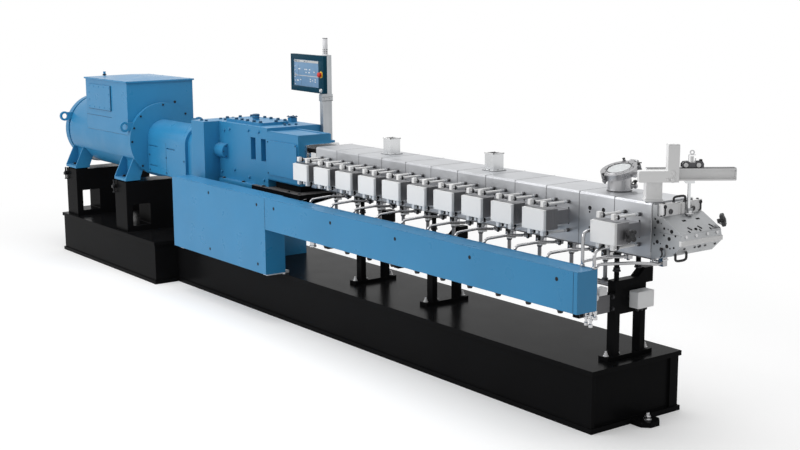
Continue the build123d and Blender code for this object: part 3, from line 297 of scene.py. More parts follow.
@dataclass(frozen=True)
class MetalFinish(Finish):
    """Bare metal with fine machining streaks and soft stains."""


@dataclass(frozen=True)
class PaintFinish(Finish):
    """Sprayed machine paint: slight orange peel, soft clouds, rubbed edges and dust."""

    roughness: float = 0.38
    slot: str = "grey_paint"
    shade: float = 0.9
    cloud_scale: float = 1.7
    gloss_scale: float = 5.0
    gloss_range: tuple[float, float] = (0.85, 1.2)
    grain: Grain = Grain.SPRAYED
    relief: float = 0.25
    relief_depth: float = 0.0004
    edge_radius: float = 0.003
    metallic: float = 0.0
    specular: float = 0.3
    wear: float = 0.08
    wear_color: Color = (0.30, 0.31, 0.32)
    dust: float = 0.10
    dust_color: Color = (0.62, 0.61, 0.58)

    def overlay(self, graph: SurfaceGraph, color: Socket) -> Socket:
        """Give the colour under its dust and with its rubbed edges."""
        color = graph.mix(graph.effect(graph.groups.dust, Amount=self.dust), color, self.dust_color)
        rubbed = graph.effect(graph.groups.edge_wear, Width=self.edge_radius, Amount=self.wear)
        return graph.mix(rubbed, color, self.wear_color)


@dataclass(frozen=True)
class PlasticFinish(Finish):
    """Moulded plastic or rubber with a fine pebble grain."""

    roughness: float = 0.45
    slot: str = "black_paint"
    shade: float = 0.88
    cloud_scale: float = 11.0
    gloss_scale: float = 20.0
    gloss_range: tuple[float, float] = (0.9, 1.15)
    grain: Grain = Grain.PEBBLED
    relief: float = 0.3
    relief_depth: float = 0.0002
    edge_radius: float = 0.001
    metallic: float = 0.0
    specular: float = 0.3


@dataclass(frozen=True)
class ScreenFinish(PlasticFinish):
    """A smooth lit surface behind the operator panel's glass."""

    roughness: float = 0.2
    slot: str = "glass"
    relief: float = 0.02


@dataclass(frozen=True)
class GlassFinish(Finish):
    """Clear sight glass with a faint film."""

    roughness: float = 0.04
    slot: str = "glass"
    shade: float = 0.93
    cloud_scale: float = 14.0
    transmission: float = 0.35
    refraction: float = 1.5

    def build(self, groups: ShaderGroups) -> bpy.types.Material:
        """Build the material, which has no relief."""
        graph = SurfaceGraph(self.name, groups)
        graph.drive("Base Color", graph.clouds(self.color, self.shade, self.cloud_scale))
        graph.keep("Roughness", self.roughness)
        graph.keep("Transmission Weight", self.transmission)
        graph.keep("IOR", self.refraction)
        return graph.material


BLUE_PAINT = PaintFinish("blue_paint", (0.027, 0.222, 0.445), 0.30, "blue_paint")
CAST_BLUE_PAINT = PaintFinish("cast_blue_paint", (0.028, 0.217, 0.430), 0.38, "blue_paint", relief=0.6,
                              grain=Grain.CAST)
SEAM_BLUE = PaintFinish("dark_blue_paint", (0.009, 0.075, 0.160), 0.5, "blue_paint", wear=0.1)
BLACK_PAINT = PaintFinish("black_paint", (0.0060, 0.0060, 0.0064), 0.22, "black_paint", shade=1.25,
                          specular=0.014, dust=0.0, wear=0.12, wear_color=(0.05, 0.05, 0.05))
WHITE_PAINT = PaintFinish("white_paint", (0.82, 0.825, 0.83), 0.42, "white_paint", dust=0.03, wear=0.15)
STEM_WHITE = PaintFinish("zinc_white", (0.80, 0.80, 0.80), 0.34, "white_paint", dust=0.0, wear=0.3)
GREY_PAINT = PaintFinish("grey_paint", (0.86, 0.86, 0.86), 0.38, "grey_paint", dust=0.02)
TRAY_PAINT = PaintFinish("tray_grey_paint", (0.10, 0.095, 0.095), 0.5, "dark_grey_paint", dust=0.05)
BARREL_STEEL = MetalFinish("barrel_steel", (0.53, 0.54, 0.56), 0.42)
BRIGHT_STEEL = MetalFinish("bright_steel", (0.72, 0.73, 0.74), 0.24, grain=Grain.UPRIGHT)
DIE_STEEL = MetalFinish("die_steel", (0.42, 0.43, 0.44), 0.36, "die_steel")
VENT_STEEL = MetalFinish("vent_steel", (0.40, 0.40, 0.41), 0.26, grain=Grain.UPRIGHT)
TUBE_STEEL = MetalFinish("tube_steel", (0.44, 0.44, 0.45), 0.14, grain=Grain.UPRIGHT)
FASTENER_STEEL = MetalFinish("fastener_steel", (0.60, 0.60, 0.61), 0.28)
BOX_METAL = MetalFinish("box_metal", (0.27, 0.27, 0.28), 0.45, "dark_grey_paint", grain=Grain.UPRIGHT)
DARK_STEEL = MetalFinish("dark_steel", (0.10, 0.10, 0.105), 0.4, "dark_grey_paint")
BLACK_STEEL = MetalFinish("black_steel", (0.035, 0.035, 0.038), 0.42, "black_paint")
ALUMINIUM = MetalFinish("anodised_aluminium", (0.46, 0.48, 0.50), 0.38, "aluminium", grain=Grain.UPRIGHT)
BLACK_PLASTIC = PlasticFinish("black_plastic", (0.018, 0.018, 0.019))
# Near black: the own colour of socket screws and panel locks, and painted shade on the dark discs and blocks
# that stand for bores, slots and pockets.
BLACK_AND_PAINTED_SHADE = PlasticFinish("black_and_painted_shade", (0.004, 0.004, 0.005), 0.7)
KNOB_GREY = PlasticFinish("knob_grey", (0.045, 0.045, 0.047), 0.4, "dark_grey_paint")
RED_PLASTIC = PlasticFinish("red_plastic", (0.62, 0.03, 0.02), 0.3, "signal_red")
YELLOW_PLASTIC = PlasticFinish("yellow_plastic", (0.78, 0.50, 0.03), 0.35, "signal_red")
SIGNAL_LENS = PlasticFinish("signal_lens", (0.70, 0.70, 0.72), 0.3, "signal_lens")
PETROL_FOIL = PlasticFinish("petrol_foil", (0.006, 0.045, 0.075), 0.35, "blue_paint", specular=0.03)
SCREEN_BLUE = ScreenFinish("screen_blue", (0.19, 0.32, 0.48), specular=0.05)
SCREEN_PALE = ScreenFinish("screen_pale", (0.58, 0.58, 0.57))
SCREEN_WHITE = ScreenFinish("screen_white", (0.78, 0.80, 0.80))
SCREEN_DARK = ScreenFinish("screen_dark", (0.09, 0.14, 0.19))
SIGHT_GLASS = GlassFinish("sight_glass", (0.86, 0.89, 0.90))


class Palette:
    """Materials of the machine, each built when it is first asked for."""

    def __init__(self) -> None:
        """Start with the shared groups and no material."""
        self.groups = ShaderGroups()
        self.made: dict[str, bpy.types.Material] = {}

    def material(self, finish: Finish) -> bpy.types.Material:
        """Give the material of a finish."""
        if finish.name not in self.made:
            self.made[finish.name] = finish.build(self.groups)
        return self.made[finish.name]

    def dress(self, finish: Finish, *nodes: str) -> None:
        """Give carried-over solids a finish.

        Args:
            finish: the finish.
            *nodes: names of the solids.
        """
        for name in nodes:
            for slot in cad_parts[name].material_slots:
                slot.material = self.material(finish)


def spin(degrees: float, axis: str = "Z") -> Matrix:
    """Give a turn about an axis."""
    return Matrix.Rotation(math.radians(degrees), 4, axis)


def shift(x: float, y: float, z: float) -> Matrix:
    """Give a move."""
    return Matrix.Translation((x, y, z))


def at(place: Point, axis: Point = UP, turn: float = 0.0) -> Matrix:
    """Give the matrix that puts an upright form at a place, along an axis.

    Args:
        place: where the form's foot goes, in millimetres.
        axis: direction in which it stands.
        turn: turn about that axis, in degrees.

    Returns:
        The matrix.
    """
    return shift(*place) @ Vector(axis).to_track_quat("Z", "Y").to_matrix().to_4x4() @ spin(turn)


def plane(origin: Point, along: Point, outward: Point) -> Matrix:
    """Give the matrix of a flat face with its own axes.

    Args:
        origin: its origin, in millimetres.
        along: its first axis.
        outward: the axis that points out of it.

    Returns:
        The matrix.
    """
    third = Vector(outward).normalized()
    first = Vector(along).normalized()
    return shift(*origin) @ Matrix((first, third.cross(first), third)).transposed().to_4x4()


def grid(xs: float | Point, ys: float | Point, zs: float | Point) -> list[Point]:
    """Give every point that has one of the given values on each axis.

    Args:
        xs: value or values along x.
        ys: value or values along y.
        zs: value or values along z.

    Returns:
        The points.
    """
    axes = ((axis,) if isinstance(axis, (int, float)) else axis for axis in (xs, ys, zs))
    return list(itertools.product(*axes))


def spaced(start: float, pitch: float, count: int) -> list[float]:
    """Give evenly spaced values."""
    return [start + index * pitch for index in range(count)]


def around(middle: Point, radius: float, degrees: Sequence[float]) -> list[Point]:
    """Give points on an upright circle across the machine.

    Args:
        middle: its middle.
        radius: its radius.
        degrees: angle of each point.

    Returns:
        The points.
    """
    x, y, z = middle
    angles = [math.radians(angle) for angle in degrees]
    return [(x, y + radius * math.cos(angle), z + radius * math.sin(angle)) for angle in angles]


class MeshPiece:
    """Collects solid forms, in millimetres in the part's frame, into one piece.

    In a with block, the piece is made where the block ends.
    """

    def __init__(self, palette: Palette, name: str, look: Finish, body: str) -> None:
        """Start an empty piece.

        Args:
            palette: the materials.
            name: name of the piece.
            look: its finish.
            body: name of the body it rides on.
        """
        self.palette, self.name, self.look, self.body = palette, name, look, body
        self.mesh = bmesh.new()

    def __enter__(self) -> "MeshPiece":
        """Give the empty piece."""
        return self

    def __exit__(self, *_: object) -> None:
        """Make the piece."""
        self.finish()

    def _join(self, form: bmesh.types.BMesh, bevel: float, place: Matrix | None) -> None:
        """Soften a form's sharp edges, put it in place and add it.

        Args:
            form: the form, which is used up.
            bevel: width of its softened edges.
            place: where it goes, or None where it is in place.
        """
        bmesh.ops.recalc_face_normals(form, faces=form.faces)
        if bevel > 0:
            sharp = [edge for edge in form.edges if edge.calc_face_angle(0.0) > BEVELLED_ANGLE]
            bmesh.ops.bevel(form, geom=sharp, offset=bevel, segments=2, profile=0.6, affect="EDGES",
                            clamp_overlap=True)
        if place is not None:
            form.transform(place)
        data = bpy.data.meshes.new("form")
        form.to_mesh(data)
        form.free()
        self.mesh.from_mesh(data)
        bpy.data.meshes.remove(data)

    def _skin(self, corners: Sequence[Points], bevel: float, place: Matrix | None,
              loop: bool = False) -> None:
        """Add the form whose skin runs over rings of corners.

        Args:
            corners: the rings, each with as many corners.
            bevel: width of the softened edges.
            place: where the form goes, or None where it is in place.
            loop: whether the last ring joins the first, so that there are no ends.
        """
        form = bmesh.new()
        rings = [[form.verts.new(corner) for corner in ring] for ring in corners]
        pairs = list(zip(rings, rings[1:]))
        if loop:
            pairs.append((rings[-1], rings[0]))
        else:
            form.faces.new(rings[0])
            form.faces.new(rings[-1])
        for lower, upper in pairs:
            for index in range(len(lower)):
                following = (index + 1) % len(lower)
                form.faces.new((lower[index], lower[following], upper[following], upper[index]))
        self._join(form, bevel, place)

    def block(self, low: Point, high: Point, bevel: float = 1.5, place: Matrix | None = None) -> None:
        """Add a block with softened edges.

        Args:
            low: its lowest corner.
            high: its highest corner.
            bevel: width of its softened edges.
            place: where it goes, or None where it is in place.
        """
        form = bmesh.new()
        size = Vector(high) - Vector(low)
        middle = (Vector(high) + Vector(low)) / 2
        bmesh.ops.create_cube(form, size=1.0, matrix=shift(*middle) @ Matrix.Diagonal((*size, 1.0)))
        self._join(form, bevel, place)

    def boxes(self, rows: Boxes, place: Matrix | None = None) -> None:
        """Add blocks, each given by its lowest corner, its highest corner and its bevel."""
        for row in rows:
            self.block(row[:3], row[3:6], row[6], place)

    def prism(self, outline: Profile, height: float, place: Matrix, bevel: float) -> None:
        """Add an upright prism over an outline.

        Args:
            outline: corners of its foot.
            height: its height.
            place: where it goes.
            bevel: width of its softened edges.
        """
        self._skin([[(x, y, z) for x, y in outline] for z in (0.0, height)], bevel, place)

    def lathe(self, place: Matrix, profile: Profile, segments: int = 24, ring: bool = False) -> None:
        """Add a turned form.

        Args:
            place: where its foot goes.
            profile: radius and height of each step.
            segments: number of its sides.
            ring: whether the profile closes on itself, so that the middle is open.
        """
        angles = [2 * math.pi * index / segments for index in range(segments)]
        rings = [[(radius * math.cos(angle), radius * math.sin(angle), height) for angle in angles]
                 for radius, height in profile]
        self._skin(rings, 0.0, place, ring)

    def studs(self, places: Points, axis: Point, profile: Profile, segments: int = 24) -> None:
        """Add the same turned form at several places."""
        for place in places:
            self.lathe(at(place, axis), profile, segments)

    def rod(self, place: Matrix, length: float, radius: float, segments: int = 20,
            bevel: float = 1.0) -> None:
        """Add a round rod with softened ends.

        Args:
            place: where its foot goes.
            length: its length.
            radius: its radius.
            segments: number of its sides.
            bevel: width of its softened ends.
        """
        small = radius - bevel
        self.lathe(place, [(small, 0), (radius, bevel), (radius, length - bevel), (small, length)], segments)

    def bolt(self, place: Matrix, radius: float, height: float, washer: float = 0.0) -> None:
        """Add a hexagon head, on a washer where it has one.

        Args:
            place: where its foot goes.
            radius: radius over the head's corners.
            height: height of the head.
            washer: radius of the washer, or 0.
        """
        foot = height * 0.2 if washer > 0 else 0.0
        if washer > 0:
            self.lathe(place, [(washer, 0), (washer, foot * 0.8), (washer - foot * 0.3, foot)], 20)
        self.lathe(place, [(radius * 0.96, foot), (radius, foot + height * 0.08),
                           (radius, foot + height * 0.82), (radius * 0.86, foot + height)], 6)

    def bolts(self, places: Points, axis: Point, radius: float, height: float, washer: float = 0.0,
              turn: float = 0.0) -> None:
        """Add the same hexagon head at several places."""
        for place in places:
            self.bolt(at(place, axis, turn), radius, height, washer)

    def cap_screw(self, place: Matrix, radius: float, height: float) -> None:
        """Add a round head with a socket.

        Args:
            place: where its foot goes.
            radius: radius of the head.
            height: height of the head.
        """
        edge = radius * 0.12
        self.lathe(place, [(radius, 0), (radius, height - edge), (radius - edge, height),
                           (radius * 0.55, height), (radius * 0.5, height * 0.45)], 18)

    def cap_screws(self, places: Points, axis: Point, radius: float, height: float) -> None:
        """Add the same round head at several places."""
        for place in places:
            self.cap_screw(at(place, axis), radius, height)

    def tube(self, points: Points, radius: float, segments: int = 12) -> None:
        """Add a bent tube.

        Args:
            points: corners of its middle line, which it rounds.
            radius: its radius.
            segments: number of its sides.
        """
        line = [Vector(point) for point in points]
        for _ in range(2):
            cut = [line[0]]
            for first, second in zip(line, line[1:]):
                cut += [first.lerp(second, 0.2), first.lerp(second, 0.8)]
            line = cut + [line[-1]]
        side = Vector((0.31, 0.55, 0.78))
        angles = [2 * math.pi * corner / segments for corner in range(segments)]
        rings = []
        for index, point in enumerate(line):
            along = (line[min(index + 1, len(line) - 1)] - line[max(index - 1, 0)]).normalized()
            side = (side - along * side.dot(along)).normalized()
            other = along.cross(side)
            rings.append([point + radius * (math.cos(angle) * side + math.sin(angle) * other)
                          for angle in angles])
        self._skin(rings, 0.0, None)

    def finish(self) -> bpy.types.Object:
        """Make the piece, dress it and let it ride on its body.

        Returns:
            The piece.
        """
        self.mesh.transform(Matrix.Scale(MILLIMETRE, 4))
        data = bpy.data.meshes.new(self.name)
        self.mesh.to_mesh(data)
        self.mesh.free()
        data.shade_smooth()
        data.set_sharp_from_angle(angle=SMOOTHED_ANGLE)
        data.materials.append(self.palette.material(self.look))
        piece = bpy.data.objects.new(self.name, data)
        bpy.context.scene.collection.objects.link(piece)
        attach(piece, self.body)
        LOG.info("%s: %d faces", self.name, len(data.polygons))
        return piece


@dataclass
class Assembly:
    """A sub-assembly whose pieces take their materials from one palette."""

    palette: Palette

    def piece(self, name: str, look: Finish, body: str = "machine") -> MeshPiece:
        """Start a piece with a finish, on a body."""
        return MeshPiece(self.palette, name, look, body)


@dataclass
class Studio:
    """Floor, soft lights and the camera."""

    camera_place: Point = (8.4908, -5.4397, 2.4774)
    camera_azimuth: float = 53.284
    camera_pitch: float = 10.209
    camera_roll: float = -0.296
    camera_lens: float = 58.05
    sensor_width: float = 36.0
    floor_reach: float = 60.0
    floor_color: Color = (0.86, 0.86, 0.86)
    floor_glow: float = 0.22
    white_reach: tuple[float, float] = (6.5, 4.0)
    fade_start: float = 0.55
    ambient: float = 0.45
    lamps: Sequence[tuple[str, Point, Point, tuple[float, float], float]] = (
        ("overhead_lamp", (0.5, -0.5, 7.5), (0.0, 0.0, 0.5), (9.0, 5.0), 380.0),
        ("front_lamp", (-1.5, -8.0, 4.0), (0.0, 0.0, 0.8), (8.0, 3.0), 290.0),
    )

    def build(self) -> None:
        """Make the floor, the surroundings, the lamps and the camera."""
        self._floor()
        self._world()
        for lamp in self.lamps:
            self._lamp(*lamp)
        self._camera()

    @staticmethod
    def _shown(wiring: Wiring, plain: Socket, shown: Socket) -> Socket:
        """Show one shader to the rays that see the surroundings and another to all other rays.

        Args:
            wiring: the tree.
            plain: shader for the other rays.
            shown: shader for rays from the camera, off gloss and through glass.

        Returns:
            The joined shader's socket.
        """
        rays = wiring.add("LightPath").outputs
        seen = wiring.math("MAXIMUM", rays["Is Camera Ray"], rays["Is Glossy Ray"])
        seen = wiring.math("MAXIMUM", seen, rays["Is Transmission Ray"])
        return wiring.add("MixShader", {"Fac": seen, 1: plain, 2: shown}).outputs["Shader"]

    def _floor(self) -> None:
        """Make the pale floor, which keeps the machine's shadow and fades to white around it."""
        mesh = bpy.data.meshes.new("floor")
        size = self.floor_reach
        corners = [(-size, -size, 0), (size, -size, 0), (size, size, 0), (-size, size, 0)]
        mesh.from_pydata(corners, [], [(0, 1, 2, 3)])
        floor = bpy.data.objects.new("floor", mesh)
        bpy.context.scene.collection.objects.link(floor)
        material = bpy.data.materials.new("floor_paint")
        material.use_nodes = True
        wiring = Wiring(material.node_tree)
        diffuse = wiring.add("BsdfDiffuse", {"Color": self.floor_color}).outputs["BSDF"]
        glow = wiring.add("Emission", {"Strength": self.floor_glow}).outputs["Emission"]
        near = wiring.add("AddShader", {0: diffuse, 1: glow}).outputs["Shader"]
        place = wiring.add("TexCoord").outputs["Object"]
        reach_x, reach_y = self.white_reach
        shares = (1 / reach_x, 1 / reach_y, 0.0)
        shrunk = wiring.add("VectorMath", {0: place, 1: shares}, operation="MULTIPLY")
        away = wiring.add("VectorMath", {0: shrunk.outputs["Vector"]}, operation="LENGTH").outputs["Value"]
        fade = wiring.add("MapRange", {"Value": away, "From Min": self.fade_start},
                          interpolation_type="SMOOTHSTEP")
        white = wiring.add("Emission").outputs["Emission"]
        faded = wiring.add("MixShader", {"Fac": fade.outputs["Result"], 1: near, 2: white}).outputs["Shader"]
        wiring.add("OutputMaterial", {"Surface": self._shown(wiring, diffuse, faded)})
        mesh.materials.append(material)

    def _world(self) -> None:
        """Make pale surroundings that look white and light softly."""
        world = bpy.data.worlds.new("studio")
        bpy.context.scene.world = world
        world.use_nodes = True
        wiring = Wiring(world.node_tree)
        lighting, white = (wiring.add("Background", {"Color": (1.0, 1.0, 1.0), "Strength": strength})
                           for strength in (self.ambient, 1.0))
        surface = self._shown(wiring, lighting.outputs["Background"], white.outputs["Background"])
        wiring.add("OutputWorld", {"Surface": surface})

    @staticmethod
    def _lamp(name: str, place: Point, target: Point, size: tuple[float, float], power: float) -> None:
        """Hang a large soft lamp.

        Args:
            name: name of the lamp.
            place: where it hangs, in metres.
            target: point it faces.
            size: its two sides in metres.
            power: its power in watts.
        """
        data = bpy.data.lights.new(name, "AREA")
        data.shape = "RECTANGLE"
        data.size, data.size_y = size
        data.energy = power
        lamp = bpy.data.objects.new(name, data)
        bpy.context.scene.collection.objects.link(lamp)
        lamp.location = place
        lamp.rotation_mode = "QUATERNION"
        lamp.rotation_quaternion = (Vector(target) - Vector(place)).to_track_quat("-Z", "Y")

    def _camera(self) -> None:
        """Set the camera at the photograph's angle."""
        azimuth, pitch, roll = (math.radians(angle) for angle in (self.camera_azimuth, self.camera_pitch,
                                                                  self.camera_roll))
        back = Vector((math.sin(azimuth) * math.cos(pitch), -math.cos(azimuth) * math.cos(pitch),
                       math.sin(pitch)))
        right = Vector((math.cos(azimuth), math.sin(azimuth), 0.0))
        up = back.cross(right)
        turned_right = right * math.cos(roll) + up * math.sin(roll)
        turned_up = up * math.cos(roll) - right * math.sin(roll)
        data = bpy.data.cameras.new("camera")
        data.lens = self.camera_lens
        data.sensor_width = self.sensor_width
        data.sensor_fit = "HORIZONTAL"
        data.clip_end = 200.0
        camera = bpy.data.objects.new("camera", data)
        bpy.context.scene.collection.objects.link(camera)
        rotation = Matrix((turned_right, turned_up, back)).transposed().to_4x4()
        camera.matrix_world = shift(*self.camera_place) @ rotation
        bpy.context.scene.camera = camera


@dataclass
class BaseDetails(Assembly):
    """Anchors of the base, welds of the motor's pedestals, and skirt, tray and bolts of the console."""

    anchor_x: float = 3592.5
    pedestal_xs: Point = (-3360, -2250)
    pedestal_ys: Point = (-574, 194)
    pedestal_half: float = 117.5
    top_z: float = 370.0
    console_z: float = 960.0
    console_bolt_xs: Point = (-960, -640, -320, 60, 210)

    def build(self) -> None:
        """Build every piece in turn."""
        with self.piece("anchor_studs", FASTENER_STEEL) as anchors:
            for x in (-self.anchor_x, self.anchor_x):
                anchors.lathe(at((x, 0, 30)), [(26, 0), (26, 4), (24, 5)], 28)
                anchors.bolt(at((x, 0, 35), turn=9), 21, 19)
                anchors.rod(at((x, 0, 0)), 72, 11.5)
        with self.piece("pedestal_welds", BLACK_PAINT) as welds:
            for x, y in itertools.product(self.pedestal_xs, self.pedestal_ys):
                face = plane((x - self.pedestal_half, y, self.top_z), NEAR if y < 0 else FAR, FORWARD)
                welds.prism([(0, 0), (7, 0), (0, 7)], 2 * self.pedestal_half, face, 0.8)
        with self.piece("console_skirt", CAST_BLUE_PAINT) as skirt:
            skirt.block((-1002, -247, 926), (-470, 207, 961.5), 1.5)
        with self.piece("console_tray", TRAY_PAINT) as tray:
            tray.block((-470, -246, 959), (251, 206, 962), 0.8)
        with self.piece("console_bolts", DARK_STEEL) as bolts:
            bolts.bolts(grid(self.console_bolt_xs, (-225, 190), self.console_z), UP, 12, 10, 16, turn=19)


@dataclass
class MotorDetails(Assembly):
    """Fastenings and covers of the motor and of the cooler on top of it."""

    axis: tuple[float, float] = (-190.0, 1180.0)
    flange_x: float = -2113.0
    flange_circle: float = 314.0
    flange_angles: Point = (0.0, 22.5, 45.0, 90.0, 135.0, 157.5, 180.0, 225.0, 270.0, 315.0)
    rear_x: float = -3575.0
    rear_cover: Profile = (
        (262, 0), (262, 5), (256, 9), (150, 11), (128, 16), (122, 24), (60, 26), (56, 22),
    )
    rear_circles: Boxes = ((236, 10.0, 10.0), (140, 7.0, 13.5))
    rear_bolts: int = 12
    pedestal_xs: tuple[float, float] = (-3360.0, -2250.0)
    foot_ys: tuple[float, float] = (-512.0, 132.0)
    foot_top: float = 851.0
    foot_reach: float = 46.0
    jack_shift: float = -98.0
    jack_y: float = -574.0
    cover_y: float = -526.0
    cover_x: tuple[float, float] = (-2958.0, -2522.0)
    cover_z: tuple[float, float] = (1448.0, 1638.0)
    cover_side_z: tuple[float, float] = (1510.0, 1576.0)
    cover_screw: Profile = ((6, 0), (6, 2), (4, 3.5), (2, 3.8))
    seams: Boxes = (
        (-3046, -517.2, 1367, -2500, -516, 1371, 0.4), (-3050.6, -512, 1367, -3050, 132, 1371, 0.2),
        # These two rows are the cover's right and lower edge faces, dark blue as painted shadow of the
        # cover's step.
        (-2500, -525, 1432, -2496, -516, 1656, 0.6), (-2980, -525, 1426, -2496, -516, 1430, 0.6),
        (-3001.5, 136, 1240, -2998.5, 137, 1690, 0.2), (-2211.5, 136, 1240, -2208.5, 137, 1690, 0.2),
    )
    blade: Profile = ((0, 0), (7, -4), (7, -22), (0, -7))
    blade_foot: Point = (-2930, 136, 1402)
    blade_length: float = 640.0
    blade_pitch: float = 30.0
    blade_count: int = 9
    lid_screw_xs: Point = (-2980, -2780, -2604, -2428, -2228)
    lid_ys: tuple[float, float] = (-527.5, 147.5)
    lid_z: float = 1711.0

    def build(self) -> None:
        """Build every piece in turn."""
        self._flange_and_rear()
        self._feet()
        self._cooler()

    def _flange_and_rear(self) -> None:
        """Set the screws of the drive flange and close the free end with a domed cover and its bolts."""
        with self.piece("motor_flange_screws", BLACK_AND_PAINTED_SHADE) as screws:
            places = around((self.flange_x, *self.axis), self.flange_circle, self.flange_angles)
            screws.cap_screws(places, FORWARD, 9.0, 6.0)
        with self.piece("motor_rear_cover", CAST_BLUE_PAINT) as cover:
            cover.lathe(at((self.rear_x, *self.axis), BACKWARD), self.rear_cover, 48)
        with self.piece("motor_rear_bolts", FASTENER_STEEL) as bolts:
            angles = [(index + 0.5) * 360 / self.rear_bolts for index in range(self.rear_bolts)]
            for circle, radius, foot in self.rear_circles:
                places = around((self.rear_x - foot, *self.axis), circle, angles)
                bolts.bolts(places, BACKWARD, radius, radius * 0.7, radius * 1.3)

    def _feet(self) -> None:
        """Bolt the feet down and set the jack bolts beside the pedestals."""
        with self.piece("motor_foot_bolts", BLACK_STEEL) as bolts:
            for x in self.pedestal_xs:
                places = grid((x - self.foot_reach, x + self.foot_reach), self.foot_ys, self.foot_top)
                bolts.bolts(places, UP, 15, 13, 20, turn=17)
        with self.piece("motor_jack_bolts", BLACK_STEEL) as jacks:
            y = self.jack_y
            for x in (pedestal + self.jack_shift for pedestal in self.pedestal_xs):
                jacks.block((x - 18, y - 34, 748), (x + 18, y, 772))
                jacks.rod(at((x, y - 18, 716)), 106, 7)
                jacks.bolt(at((x, y - 18, 772), turn=12), 14, 11, 16)
                jacks.bolt(at((x, y - 18, 716), DOWN), 12, 10)

    def _cooler(self) -> None:
        """Trim the cooler with its cover screws, seams, louvres, lid screws and stud, with painted shadow on
        the cover's edges and painted shade in its end bore.
        """
        with self.piece("cooler_cover_screws", BLUE_PAINT) as screws:
            start, end = self.cover_x
            xs = [start + step * (end - start) / 4 for step in range(5)]
            screws.studs(grid(xs, self.cover_y, self.cover_z), NEAR, self.cover_screw, 14)
            screws.studs(grid(self.cover_x, self.cover_y, self.cover_side_z), NEAR, self.cover_screw, 14)
        # Besides the seams, this piece holds the cover's edge strips, which are painted shadow.
        with self.piece("cooler_seams_and_cover_edge_shadow", SEAM_BLUE) as seams:
            seams.boxes(self.seams)
        with self.piece("cooler_louvres", BLUE_PAINT) as louvres:
            for index in range(self.blade_count):
                place = shift(0, 0, index * self.blade_pitch) @ plane(self.blade_foot, FAR, FORWARD)
                louvres.prism(self.blade, self.blade_length, place, 0.6)
        with self.piece("cooler_lid_screws", BLUE_PAINT) as lid:
            for y, axis in zip(self.lid_ys, (NEAR, FAR)):
                places = grid(self.lid_screw_xs, y, self.lid_z)
                lid.studs(places, axis, [(5.5, 0), (5.5, 1.5), (3.5, 3)], 12)
        with self.piece("cooler_stud_nut", BLACK_STEEL) as nut:
            nut.bolt(at((-2990, -350, 1726)), 17, 9, 24)
        # A dark disc on the end face is painted shade inside the end bore.
        with self.piece("cooler_end_bore_shade", BLACK_AND_PAINTED_SHADE) as end_bore_shade:
            end_bore_shade.lathe(at((-2158, -48, 1510), FORWARD), [(12, 0), (12, 1), (9, 1.2), (8, 0.4)], 20)


@dataclass
class GuardDetails(Assembly):
    """Screws and seams of the coupling guard."""

    near_y: float = -354.0
    screw_xs: Point = (-2079, -1755, -1422)
    screw_zs: Point = (925, 1060)
    seams: Boxes = (
        (-2113, -354.8, 898, -1396, -354, 903, 0.2), (-1757, -354.8, 903, -1754, -354, 1190, 0.2),
    )

    def build(self) -> None:
        """Build every piece in turn."""
        with self.piece("guard_screws", SEAM_BLUE) as screws:
            places = grid(self.screw_xs, self.near_y, self.screw_zs)
            screws.studs(places, NEAR, [(9, 0), (9, 2.5), (7, 5), (3, 5.5)], 16)
        with self.piece("guard_seams", SEAM_BLUE) as seams:
            seams.boxes(self.seams)


